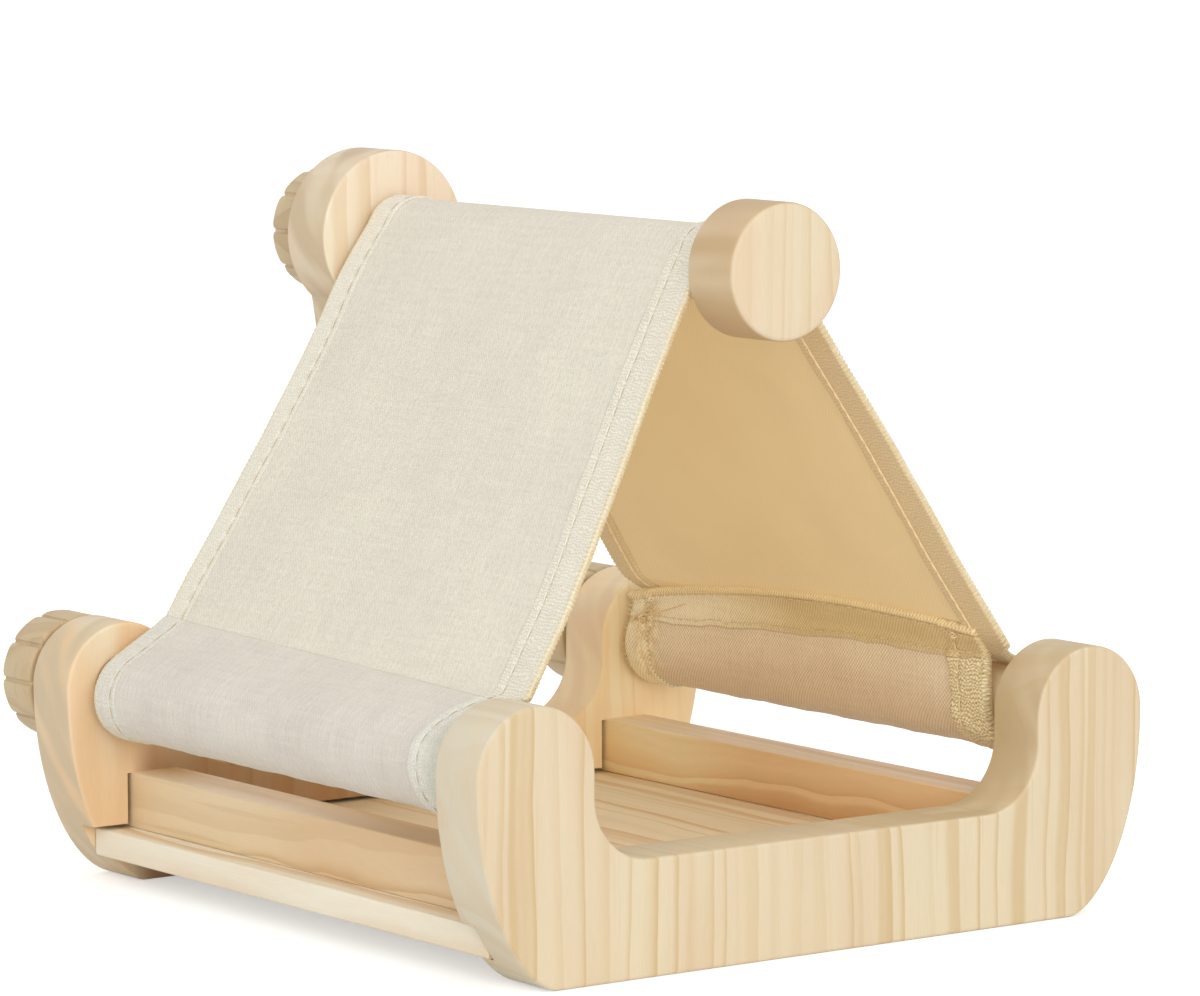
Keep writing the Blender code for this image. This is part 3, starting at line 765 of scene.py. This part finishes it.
# Distances from the front edge and from the rear edge, in mm, at the places across the cloth where
# its surface has points: close together in the hems and wide apart between them.
front_steps = np.array([0, 0.04, 0.14, 0.32, 0.6, 1.0, 1.6, 2.4, 3.3, 4.2, 5.1, 6.0, 6.9, 7.6, 8.0, 8.3,
                        8.6, 8.9, 9.3, 9.9, 10.5, 10.9, 11.2, 11.5, 11.8, 12.2, 12.8, 13.5, 14.5, 16.0])
rear_steps = np.array([0, 0.04, 0.14, 0.32, 0.6, 1.0, 1.5, 2.1, 2.8, 3.5, 4.2, 4.9, 5.4, 5.8, 6.1, 6.4,
                       6.7, 7.1, 7.6, 8.0, 8.3, 8.6, 8.9, 9.3, 10.0, 11.0, 12.5, 14.5])
middle_steps = np.linspace(front_steps[-1], cut_width - rear_steps[-1], 38)[1:-1]
from_front = np.concatenate([front_steps, middle_steps, cut_width - rear_steps[::-1]])
to_rear = cut_width - from_front
at_front = from_front < cut_width / 2
share_across = from_front / cut_width

# How far above the side rods the cross seam, the end of the flap and the flap's root lie, in metres.
seam_height = 0.0137 + 0.0042 * share_across
flap_height = 0.0202 + 0.0135 * share_across - 0.0198 * share_across ** 2
flap_root = np.minimum(seam_height, flap_height - 0.0036)
near_seam = 0.012
flap_offset = -1.05 * cloth
ridge_rows, slope_rows, near_rows = 10, 52, 16


def on_slope(from_rod, offset):
    """A point on the slope's middle line, at a distance from the side rod, moved out by an offset."""
    from_rod = np.asarray(from_rod)[..., None]
    return side_rod - slope_down * from_rod + slope_out * offset


def half_path():
    """The right half of the cloth's middle line in X and Z, for every place across: over the ridge,
    down the slope, round the side rod, and up inside to the end of the sewn flap."""
    def steps(count):
        return np.linspace(0, 1, count + 1)[1:, None]

    def on_loop(angle):
        return loop_middle + loop_reach * np.stack([np.cos(angle), np.sin(angle)], axis=2)

    across = np.ones(len(from_front))
    turn = math.pi / 2 + (ridge_touch - math.pi / 2) * np.linspace(0, 1, ridge_rows + 1)[:, None] * across
    over_ridge = ridge + ridge_reach * np.stack([np.cos(turn), np.sin(turn)], axis=2)
    slope = on_slope(slope_length + (seam_height + near_seam - slope_length) * steps(slope_rows), 0)
    to_seam = on_slope(seam_height + near_seam * (1 - steps(near_rows)), 0)
    seam = on_slope(seam_height, 0)
    first = touching(loop_middle, loop_reach, seam, -1)
    inner_seam = on_slope(flap_root, flap_offset)
    last = touching(loop_middle, loop_reach, inner_seam, 1) - 2 * np.pi
    start, end = on_loop(first[None]), on_loop(last[None])
    to_loop = seam + (start - seam) * steps(14)[..., None]
    loop = on_loop(first + (last - first) * steps(46))
    from_loop = end + (inner_seam - end) * steps(18)[..., None]
    up = np.concatenate([steps(10) * 0.75, 1 - 0.25 * (1 - steps(10)) ** 2])
    flap = on_slope(flap_root + (flap_height - flap_root) * up, flap_offset)
    return np.concatenate([over_ridge, slope, to_seam, to_loop, loop, from_loop, flap])


# Easing the path's corners: each point moves towards its neighbours, seven times over.
half = half_path()
middle_line = np.concatenate([half[:0:-1] * (-1, 1), half])
for _ in range(7):
    middle_line[1:-1] = (middle_line[:-2] + 2 * middle_line[1:-1] + middle_line[2:]) / 4
rows, columns = middle_line.shape[:2]

# Where the rows of the middle line lie: mm along the cloth from the ridge, above the cross seam
# (negative on the slope), and from the end of the flap.
step_lengths = np.linalg.norm(np.diff(middle_line, axis=0), axis=2)
along = np.concatenate([np.zeros((1, columns)), np.cumsum(step_lengths, axis=0)]) * 1000
along -= along[rows // 2]
from_ridge = np.abs(along)
left, right = along < 0, along > 0
past_seam = from_ridge - along[rows // 2 + ridge_rows + slope_rows + near_rows]
to_flap_end = along[-1] - from_ridge

ahead = np.gradient(middle_line, axis=0)
ahead /= np.linalg.norm(ahead, axis=2, keepdims=True)
outward = np.stack([-ahead[..., 1], ahead[..., 0]], axis=2)


def smooth(value, low, high):
    """A smooth step from 0 to 1 between two limits: 3 t^2 - 2 t^3."""
    t = np.clip((value - low) / (high - low), 0, 1)
    return t * t * (3 - 2 * t)


def bell(value, middle, width):
    """A swelling of height 1: exp(-((value - middle) / width)^2)."""
    return np.exp(-((value - middle) / width) ** 2)


def rounding(distance, radius):
    """The height of a quarter circle at a distance from the edge: sqrt(1 - (1 - d / r)^2)."""
    return np.sqrt(1 - (1 - np.clip(distance / radius, 0, 1)) ** 2)


def ripple(value, seed, longest, count=5):
    """A smooth uneven wave: a sum of sines of shorter and shorter length with seeded phases."""
    chance = np.random.default_rng(seed)
    lengths = longest / (1 + np.arange(count) * 0.83)
    phases = chance.uniform(0, 2 * np.pi, count)
    weights = 1 / (1 + np.arange(count))
    return sum(w * np.sin(2 * np.pi * value / length + phase)
               for w, length, phase in zip(weights, lengths, phases)) / weights.sum()


# The front edge slants from behind the end knob at the ridge, flares forward above the lobes, and
# turns back behind the panel, where the sleeve ends short of it.
low_z = side_rod_height - 2 * rod_radius
knob_z = ridge_height + knob_radius * math.sin(ridge_touch - math.acos(ridge_reach / knob_radius))
low_y, knob_y = front_inner + 0.0010, knob_high.y + 0.0010
front_edge = low_y + (knob_y - low_y) * (middle_line[..., 1] - low_z) / (knob_z - low_z)
front_edge += 0.00022 * ripple(along, 3, 41) * smooth(from_ridge, 14, 30)
flare = np.where(left, 0.0046, 0.0028)
front_edge -= flare * smooth(from_ridge, 34, 98) * (1 - smooth(from_ridge, 111.5, 114))
front_edge += np.where(left, 0.0017, 0.0044) * smooth(past_seam, -1, 7)
rear_edge = rear_inner - 0.0020 + 0.00022 * ripple(along, 8, 37)
rear_edge -= 0.0010 * smooth(past_seam, -6, 4)
stretch = (rear_edge - front_edge - cut_width / 1000) * smooth(from_front, 14, cut_width - 14)
depth = front_edge + from_front / 1000 + stretch

# How far each face of the cloth lies from its middle line, in mm.
on_ridge = 1 - smooth(from_ridge, 6.5, 11)
on_sleeve = smooth(past_seam, 1, 9)
inboard = smooth(to_flap_end, 34, 26)
nearest_edge = np.minimum(from_front, to_rear)
hem_line = np.where(at_front, front_hem - 1.2 * on_ridge, rear_hem) + 0.25 * ripple(along, 12, 33)
bulky = inboard * right * at_front * smooth(to_flap_end, 5, 11)
hem_line += bulky * (0.9 * ripple(to_flap_end, 71, 15) + 2.2 * bell(to_flap_end, 8.5, 2.5))
in_hem = 1 - smooth(nearest_edge, hem_line - 0.28, hem_line + 0.05)
outer_reach = half_cloth + in_hem * (0.16 + 0.55 * hem_fold * np.maximum(on_ridge, inboard))
inner_reach = half_cloth + in_hem * hem_fold * (1 - on_ridge)
outer_reach += bulky * in_hem * (0.55 + 0.40 * ripple(to_flap_end + 0.4 * from_front, 72, 11))

# Stitches pull the hem down along a line in it, and the cross seam does so in the slope.
from_stitch = nearest_edge - np.where(at_front, front_stitch, rear_stitch)
pull = bell(from_stitch, 0, 0.42) * smooth(to_flap_end, 0.5, 1.5)
outer_reach -= 0.26 * pull
inner_reach -= 0.22 * pull * (1 - on_ridge)
outer_reach += 0.16 * bell(past_seam, 1.3, 0.9) - 0.30 * bell(past_seam, 0, 0.55)

# The flap's end is turned under into a band that lies on the sleeve's inboard side. Its lower edge
# waves, and it is stitched near both edges.
band_width = 7.4 + 3.2 * np.sin(np.pi * share_across ** 0.8) ** 0.7
band_edge = band_width + 0.45 * ripple(from_front, 21, 46) + 0.25 * ripple(from_front, 22, 11)
band = 1 - smooth(to_flap_end, band_edge - 0.35, band_edge + 0.1)
band_stitches = {"upper": 1.7, "lower": band_edge - 1.2}
outer_reach += 0.50 * band * (1 - 0.3 * in_hem) + 0.10 * bell(to_flap_end, 0.8, 0.5)
for line in band_stitches.values():
    outer_reach -= 0.30 * bell(to_flap_end, line, 0.40)

# Slack: long shallow waves on the slopes, drag lines round the sleeves, and gathers at their ends.
slope_part = smooth(from_ridge, 12, 40) * (1 - smooth(past_seam, -25, -3))
lift = -0.75 * slope_part * np.sin(np.pi * np.clip((from_ridge - 8) / 100, 0, 1)) * left
lift += 2.4 * smooth(along, 6, 26) * (1 - smooth(along, 45, 100))
lift += 0.9 * share_across ** 2 * bell(along, -24, 10)
lift += 0.22 * slope_part * ripple(along * 0.7 + from_front * 0.9, 31, 62) * smooth(nearest_edge, 2, 26)
lift += 0.14 * slope_part * ripple(from_front * 1.2 - along * 0.3, 32, 30)
drag = 0.22 * on_sleeve * ripple(from_front + 0.55 * past_seam, 41, 24)
lift += drag * smooth(nearest_edge, 8, 18) * (1 - band)
end_gather = bell(from_stitch, 4.5, 4.0) * on_sleeve * (1 - 0.6 * band)
lift += 0.30 * end_gather * ripple(past_seam, 51, 15)
bunch = bell(to_rear, 7.5, 3.6) * smooth(to_flap_end, 24, 14)
lift += 0.70 * bunch * ripple(to_flap_end * 0.8 + to_rear * 0.9, 61, 9, 4)
lift += 0.70 * bell(to_rear, 3, 3.0) * smooth(to_flap_end, 26, 12)
pucker = bell(from_front, 7, 5.0) * bell(to_flap_end, 9, 7.0) * right
lift += 0.60 * pucker * ripple(to_flap_end - from_front, 62, 8)
roll = on_sleeve * left * at_front * (1 - inboard)
lift += roll * (0.45 * bell(from_front, 10, 2.0) - 0.55 * (1 - smooth(from_front, 0, 8)))

edge_radius = 0.55
body_round = rounding(nearest_edge, edge_radius) * rounding(to_flap_end, edge_radius)
middle = middle_line + outward * (lift / 1000)[..., None]
outer = middle + outward * (outer_reach * body_round / 1000)[..., None]
inner = middle - outward * (inner_reach * body_round / 1000)[..., None]


def in_space(section):
    """Points of a section in X and Z, with their place from front to back."""
    return np.stack([section[..., 0], depth, section[..., 1]], axis=2)


cover_points = np.concatenate([in_space(outer).reshape(-1, 3), in_space(inner).reshape(-1, 3)])
outer_faces = np.array(grid_faces(rows, columns))
cover_faces = np.concatenate([outer_faces, outer_faces[:, ::-1] + rows * columns]).tolist()
cover_mesh = bpy.data.meshes.new("canvas_cover_sheet")
cover_mesh.from_pydata(cover_points.tolist(), [], cover_faces)

# Marks in the mesh that the canvas's finish reads: the measures above, alike on both faces.
marks = {"along": along, "from_front": from_front, "past_seam": past_seam, "to_flap_end": to_flap_end,
         "band_edge": band_edge, "hem_line": hem_line, "bunch": bunch * smooth(to_flap_end, 1.5, 4)}
marks = {name: np.tile(np.broadcast_to(values, along.shape).reshape(-1), 2)
         for name, values in marks.items()}
marks["inner_face"] = np.repeat([0.0, 1.0], rows * columns)
for name, values in marks.items():
    mark = cover_mesh.attributes.new(name, "FLOAT", "POINT")
    mark.data.foreach_set("value", values.astype(np.float32))
work = bmesh.new()
work.from_mesh(cover_mesh)
rim_points = [point for point in work.verts if point.is_boundary]
bmesh.ops.remove_doubles(work, verts=rim_points, dist=1e-7)
bmesh.ops.recalc_face_normals(work, faces=work.faces)
work.to_mesh(cover_mesh)
work.free()
cover_mesh.polygons.foreach_set("use_smooth", np.full(len(cover_mesh.polygons), True))
cover = in_scene("canvas_cover_sheet", cover_mesh)


weave_pitch, rib_pitch, row_pitch = 0.50, 0.78, 1.05


def weave_group():
    """Plain weave, with Along and Across in mm and a thread's Pitch: warp and weft stand up in turn,
    sin(pi a / p) times sin(pi b / p), over threads of uneven thickness that run a few cm each."""
    tree, given, result = effect_group("plain_weave", {"Float": "Along Across Pitch"},
                                       {"Float": "Height Threads"})
    turns = [given[key] / given["Pitch"] for key in ("Along", "Across")]
    warp_wave, weft_wave = [(turn * math.pi).calc("SINE") for turn in turns]
    ribs = warp_wave.calc("ABSOLUTE") + weft_wave.calc("ABSOLUTE")
    lie = put(tree, "ShaderNodeCombineXYZ", {0: turns[0], 1: turns[1]})
    warp = cloudy(lie, (0.50, 0.030, 1))
    weft = cloudy(lie, (0.050, 0.62, 1))
    slub = cloudy(lie, (0.42, 0.60, 1), 1.0)
    feed(result, {"Height": warp_wave * weft_wave * 0.5 + ribs * 0.35,
                  "Threads": warp * 0.30 + weft * 0.42 + slub * 0.28})
    return tree


def waving(value, pitch):
    """A wave between -1 and 1: sin(2 pi value / pitch)."""
    return (value * (2 * math.pi / pitch)).calc("SINE")


def layered(colour, *layers):
    """A colour with others over it in turn, each by a share."""
    for share, other in layers:
        colour = blended(share, colour, other)
    return colour


def canvas_finish():
    """Unbleached canvas: cream outside with a faint blush, ribbed along its turned hems and darker in its
    seams. Its warm tan inside, on the sleeves' inboard sides and on the bands is painted light, with a
    weak painted glow for light that comes through the cloth, and painted shade darkens parts of it."""
    material, tree, surface = new_finish("unbleached_canvas")
    mark = {name: put(tree, "ShaderNodeAttribute", attribute_name=name)["Fac"] for name in marks}
    from_front, past_seam, to_end = mark["from_front"], mark["past_seam"], mark["to_flap_end"]
    inner_face = mark["inner_face"]
    edge = from_front.calc("MINIMUM", cut_width - from_front)
    weave = put(tree, "ShaderNodeGroup", {"Along": mark["along"], "Across": from_front,
                                          "Pitch": weave_pitch}, node_tree=weave_group())
    place = put(tree, "ShaderNodeTexCoord")["Object"]
    mottle = ease(cloudy(place, (38, 38, 38)), 0.30, 0.70)
    speck = ease(cloudy(place, (1300, 1300, 1300)), 0.42, 0.70)
    crinkle = cloudy(place, (420, 420, 420), 1.0)
    sleeve = ease(past_seam, -0.4, 1.5)
    inboard = ease(to_end, 36.0, 22.0)
    hem_inner = cloudy(place, (110, 110, 110)) * 1.1 + mark["hem_line"] - 0.55
    hem = ease(edge - hem_inner, 0.3, -0.3)

    # Ribs across the hems and rows along them, smoother towards the rear. Their light and dark tints are
    # partly the cloth's own and partly painted highlight and shade in step with the ribs' relief.
    rib = ease(waving(mark["along"] + crinkle * 2.2, rib_pitch), -0.9, 0.5)
    rib = rib * ease(waving(edge + crinkle * 2.2, row_pitch), -1.0, 0.1, 0.55, 1.0)
    smoother = ease(from_front, 50.0, 90.0, 0.0, 0.45) * ease(past_seam, -2.0, 6.0, 1.0, 0.2)
    smoother = smoother.calc("MAXIMUM", inboard * ease(from_front, 50.0, 90.0))
    rib = put(tree, "ShaderNodeMix", {0: smoother, 2: rib, 3: 0.85})

    # The outside: the slopes, the sleeves, the hems, the sleeves' inboard sides and the bands. Painted
    # shade makes the sleeves a little darker and greyer, and their front hems darker towards the panel.
    on_sleeve = blended(mottle, (226, 219, 206), (222, 213, 200))
    hem_slope = blended(rib, (230, 221, 200), (245, 240, 225))
    hem_sleeve = blended(rib, (226, 222, 207), (234, 231, 219))
    hem_tint = layered(hem_slope, (sleeve, hem_sleeve),
                       (ease(from_front, 8.0, 4.0) * sleeve * 0.7, (211, 210, 192)),
                       (ease(edge, 1.5, 0.3) * 0.45, (232, 217, 176)))
    outside = layered((235, 229, 212), (mottle, (232, 224, 208)), (speck * 0.45, (219, 209, 191)),
                      (sleeve, on_sleeve), (hem * 0.9, hem_tint))
    # Painted light and shade inside the bed: the sleeves' inboard sides a warm tan and darker low down,
    # their hems darker towards the front and paler towards the rear; the bands a warm tan, paler towards
    # the rear and along their turned top edge; and paler and darker patches over the rear gather's
    # crinkles.
    painted_low_shade = ease(to_end, 13.0, 21.0) * ease(mark["along"], 0.0, 10.0)
    painted_light_to_rear = ease(from_front, 60.0, 112.0)
    hem_inboard = blended(rib, blended(painted_light_to_rear, (206, 184, 136), (238, 223, 190)),
                          (250, 238, 204))
    shaded_sleeve_inboard = layered((236, 219, 193), (mottle, (230, 211, 184)),
                             (painted_low_shade * 0.38, (203, 174, 146)), (hem, hem_inboard))
    below_band = to_end - mark["band_edge"]
    band_tint = layered((226, 205, 156), (mottle, (218, 194, 145)),
                        (painted_light_to_rear, (250, 240, 212)), (ease(to_end, 1.5, 0.6), (244, 224, 178)))
    gather_light_and_shade = blended(ease(crinkle, 0.40, 0.60), (212, 189, 142), (248, 235, 196))
    outside = layered(outside, (inboard, shaded_sleeve_inboard), (ease(below_band, 0.15, -0.25), band_tint),
                      (mark["bunch"] * 0.75, gather_light_and_shade))

    # The inside, whose warm tan is painted light for light that comes through the cloth, and dark lines on
    # both faces in the seams and along the stitches. Painted shade also darkens the inner face near the
    # front edge, from just above the cross seam on.
    hem_inside = blended(rib, (203, 180, 141), (218, 197, 160))
    inside = layered((224, 204, 160), (mottle, (220, 199, 157)), (hem, hem_inside))
    colour = blended(inner_face, outside, inside)
    stitch = ease(from_front, 68.0, 69.0, front_stitch, rear_stitch)
    seams = [(past_seam, 0.0, 0.35, 0.25), (edge, stitch, 0.22, 0.22),
             (edge, mark["hem_line"], 0.22, 0.45), (to_end, band_stitches["upper"], 0.25, 0.45),
             (below_band, 0.15, 0.35, 0.60), (below_band, -1.2, 0.2, 0.35)]
    dark = ease(past_seam, -8.0, -1.0) * inner_face * ease(from_front, 13.0, 8.0) * 0.75
    for value, at, width, strength in seams:
        dark = dark.calc("MAXIMUM", ease((value - at).calc("ABSOLUTE"), width, 0.0) * strength)
    colour = blended(dark, colour, blended(1.0, colour, (0.62, 0.55, 0.46, 1), "MULTIPLY"))

    # Threads and gaps of the weave, the gaps a little darker as painted shade in step with the weave's
    # relief, and slanting lines on the sleeves' inboard sides.
    contrast = (sleeve * 0.12 + 0.42) * (inner_face * -0.80 + 1.0)
    tone = ((weave["Threads"] - 0.5) * contrast + 1.0) * (weave["Height"] * 0.12 + 0.95)
    crossing = waving(from_front + past_seam, row_pitch) + waving(past_seam - from_front, row_pitch)
    tone = crossing * 0.12 * inboard + tone
    # A weak warm painted glow on the inner face, less on the sleeves' inboard sides and in the hems, stands
    # in for light that comes through the cloth.
    through = inner_face.calc("MAXIMUM", inboard * 0.25) * (hem * -0.35 + 1.0)
    light_through = blended(through, (0, 0, 0, 1), (0.19, 0.150, 0.085, 1))
    height = (rib * hem * 1.2 + weave["Height"]) * (inner_face * -0.7 + 1.0)
    feed(surface, {"Base Color": toned(colour, tone), "Emission Color": toned(light_through, tone),
                   "Emission Strength": 1, "Normal": relief(height, 0.5, 0.00010),
                   "Roughness": speck * 0.1 + 0.85, "Specular IOR Level": 0.2, "Sheen Weight": 0.08})
    return material


place_piece(cover, canvas_finish(), "base", "canvas", "canvas_cover")


# Stitching. White cotton in long stitches along both hems, on both faces, and along both edges of the
# bands. The cut edges are bound with a yellowish overlock thread. Thread inside the bed takes a warmer,
# darker copy of the cotton as painted shade, and the stitches on the inner face a painted glow.
def thread_finish(name, colour, darker, through=0.0):
    """Spun cotton: a fine twist, an uneven tint, and, by through, a painted glow for light that comes
    through the cloth.
    """
    material, tree, surface = new_finish(name)
    place = put(tree, "ShaderNodeTexCoord")["Object"]
    feed(surface, {"Base Color": blended(cloudy(place, (500, 500, 500)), darker, colour),
                   "Normal": relief(cloudy(place, (6000, 6000, 6000)), 0.5, 0.00004),
                   "Roughness": 0.85, "Specular IOR Level": 0.2,
                   "Emission Color": (0.24, 0.19, 0.11, 1), "Emission Strength": through})
    return material


white_thread = thread_finish("white_cotton", (246, 242, 228), (232, 226, 206))
yellow_thread = thread_finish("overlock_cotton", (238, 228, 194), (224, 208, 162))
# Painted shade: a warmer, darker copy of the white cotton for thread that lies in shade inside the bed.
shaded_thread = thread_finish("shaded_cotton", (246, 228, 190), (234, 210, 168))
cream_thread = thread_finish("cream_cotton", (234, 226, 206), (226, 216, 194))
# Painted glow: the stitches on the cloth's inner face glow a little, for light through the cloth.
glowing_thread = thread_finish("lit_cotton", (240, 219, 178), (230, 204, 160), 0.7)


def add_thread(name, points, faces, finish):
    """A piece of thread in the cover."""
    piece = add_mesh(name, points, faces)
    piece.data.materials.append(finish)
    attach(piece, "base")


def tube(line, radius, sides, forward=None):
    """Rings of points round a line, along the last axis but one: radius (cos a, sin a) on two
    directions square to the line."""
    forward = np.gradient(line, axis=-2) if forward is None else forward
    forward = forward / np.linalg.norm(forward, axis=-1, keepdims=True)
    sideways = np.cross(forward, np.array((0.31, 0.52, 0.79)))
    sideways /= np.linalg.norm(sideways, axis=-1, keepdims=True)
    upward = np.cross(forward, sideways)
    turn = np.linspace(0, 2 * np.pi, sides, endpoint=False)[:, None]
    ring = np.cos(turn) * sideways[..., None, :] + np.sin(turn) * upward[..., None, :]
    return line[..., None, :] + ring * np.asarray(radius)[..., None, None]


def run_along(line):
    """How far along a line each of its points lies."""
    return np.concatenate([[0], np.cumsum(np.linalg.norm(np.diff(line, axis=0), axis=1))])


def picked(places, run, values):
    """The points or directions of a line at places along it."""
    return np.stack([np.interp(places, run, values[:, axis]) for axis in range(3)], axis=-1)


def sew(name, line, away, finish, length=0.0031, space=0.0012, radius=0.00021, arch=0.00022):
    """Stitches along a line of points. Each is a thin spindle that rises from the cloth by
    arch sin(pi t) in the direction away and is thickest in its middle."""
    run = run_along(line)
    count = int(run[-1] / (length + space))
    share = np.linspace(0, 1, 7)
    places = (np.arange(count)[:, None] + 0.1) * (length + space) + share * length
    swell = np.sin(np.pi * share)
    centre = picked(places, run, line) + picked(places, run, away) * (arch * swell)[:, None]
    thick = radius * np.sqrt(np.clip(swell, 0, 1))
    points = tube(centre, np.broadcast_to(thick, (count, 7)), 6)
    one = np.array(grid_faces(7, 6, wrap_columns=True))
    faces = (one[None] + np.arange(count)[:, None, None] * 42).reshape(-1, 4).tolist()
    add_thread(name, points, faces, finish)


normals = np.stack([outward[..., 0], np.zeros_like(depth), outward[..., 1]], axis=2)
outer_space, inner_space = in_space(outer), in_space(inner)
turned_rows, flap_rows = 12, 60
shown = slice(turned_rows, rows - turned_rows)
inboard_rows = int(np.argmax(to_flap_end[:, columns // 2] > 30))
stretches = {"": slice(inboard_rows, rows - inboard_rows), "_left": slice(turned_rows, inboard_rows),
             "_right": slice(rows - inboard_rows, rows - turned_rows)}
for side, distance, stitch_line in (("front", from_front, front_stitch), ("rear", to_rear, rear_stitch)):
    column = int(np.argmin(np.abs(distance - stitch_line)))
    for end, stretch_rows in stretches.items():
        lifted = outer_space[stretch_rows, column] + normals[stretch_rows, column] * 0.00012
        thread = shaded_thread if end else white_thread if side == "front" else cream_thread
        sew(side + end + "_hem_stitches", lifted, normals[stretch_rows, column], thread)
    lowered = inner_space[shown, column] - normals[shown, column] * 0.00010
    sew(side + "_hem_inner_stitches", lowered, -normals[shown, column], glowing_thread,
        length=0.0034, space=-0.0007, radius=0.00024, arch=0.00018)
inside_hems = np.arange(8, columns - 8)
for side, end_rows in (("left", np.arange(flap_rows)), ("right", np.arange(rows - flap_rows, rows))):
    for edge_name, target in band_stitches.items():
        chosen = end_rows[np.argmin(np.abs(to_flap_end[end_rows] - target), axis=0)][inside_hems]
        away = normals[chosen, inside_hems]
        sew(f"{side}_band_{edge_name}_stitches", outer_space[chosen, inside_hems] + away * 0.0001, away,
            shaded_thread, length=0.0022, space=0.0009, radius=0.00017)


def overlock(name, line, inward, normal, thickness, pitch=0.00110, reach=0.00060, radius=0.00015):
    """A thread wound round an edge: at turn a its centre is reach (1 + cos a) into the cloth and
    thickness sin a through it, while it moves one pitch along the edge a turn."""
    run = run_along(line)
    turns = int(run[-1] / pitch)
    turn = np.linspace(0, 2 * np.pi * turns, turns * 9 + 1)
    places = turn / (2 * np.pi) * pitch
    through = np.interp(places, run, thickness) * np.sin(turn)
    centre = picked(places, run, line) + np.multiply.outer(reach * (1 + np.cos(turn)), inward)
    centre += picked(places, run, normal) * through[:, None]
    rings = tube(centre, np.full(len(centre), radius), 5)
    faces = grid_faces(len(centre), 5, wrap_columns=True)
    faces += [list(range(5)), list(range(len(centre) * 5 - 5, len(centre) * 5))]
    add_thread(name, rings, faces, yellow_thread)


for side, column, body, inward in (("front", 0, 10, (0.0, 1.0, 0.0)),
                                   ("rear", columns - 1, columns - 11, (0.0, -1.0, 0.0))):
    half_thick = ((outer_reach + inner_reach) / 2)[shown, body] / 1000 + 0.00005
    edge_line = (outer_space + inner_space)[shown, body] / 2
    edge_line[:, 1] = depth[shown, column]
    overlock(side + "_overlock", edge_line, inward, normals[shown, column], half_thick)


# Loose ends. Thread ends stand out of the rear gather of the right sleeve, and knots close both ends of
# its seam.
def on_right_flap(up_from_end, from_rear, lift):
    """A point at distances in mm from the flap's end and from the rear edge, lifted off the cloth."""
    column = int(np.argmin(np.abs(to_rear - from_rear)))
    in_flap = int(np.argmin(np.abs(to_flap_end[-flap_rows:, column] - up_from_end)))
    row = rows - flap_rows + in_flap
    return outer_space[row, column] + normals[row, column] * lift


strand_paths = [
    [(9.0, 1.5, 0.0003), (6.0, 6.4, 0.0018), (5.5, 12.5, 0.0006)],
    [(7.0, 3.5, 0.0003), (7.5, 9.3, 0.0012), (4.2, 22.0, 0.0005)],
    [(11.0, 5.8, 0.0003), (7.5, 5.4, 0.0020), (4.0, 8.6, 0.0008)],
]
for number, path_places in enumerate(strand_paths, 1):
    start, pull, end = (on_right_flap(*path_place) for path_place in path_places)
    t = np.linspace(0, 1, 24)[:, None]
    line = (1 - t) ** 2 * start + 2 * t * (1 - t) * pull + t * t * end
    rings = tube(line, np.linspace(0.00024, 0.00012, 24), 6)
    ends = [list(range(6)), list(range(23 * 6, 24 * 6))]
    add_thread(f"loose_thread_{number}", rings, grid_faces(24, 6, wrap_columns=True) + ends, shaded_thread)


def thread_knot(name, centre, size, seed):
    """A small knot: a closed thread whose turns wander over a ball, centre + size (cos u cos v,
    sin u cos v, sin v) with u and v running at different rates."""
    chance = np.random.default_rng(seed)
    run = np.linspace(0, 2 * np.pi, 160, endpoint=False)
    u = 5 * run + chance.uniform(0, 6)
    v = 1.2 * np.sin(3 * run + chance.uniform(0, 6))
    ball = np.stack([np.cos(u) * np.cos(v), np.sin(u) * np.cos(v), np.sin(v)], axis=1)
    line = centre + size * ball * (0.75 + 0.25 * np.sin(7 * run))[:, None]
    rings = tube(line, 0.0002, 6, np.roll(line, -1, axis=0) - np.roll(line, 1, axis=0))
    add_thread(name, rings, grid_faces(160, 6, wrap_rows=True, wrap_columns=True), shaded_thread)


thread_knot("rear_seam_knot", on_right_flap(7.5, 6.0, 0.0004), 0.0011, 5)
thread_knot("front_seam_knot", on_right_flap(2.2, 130.5, 0.0003), 0.0008, 6)
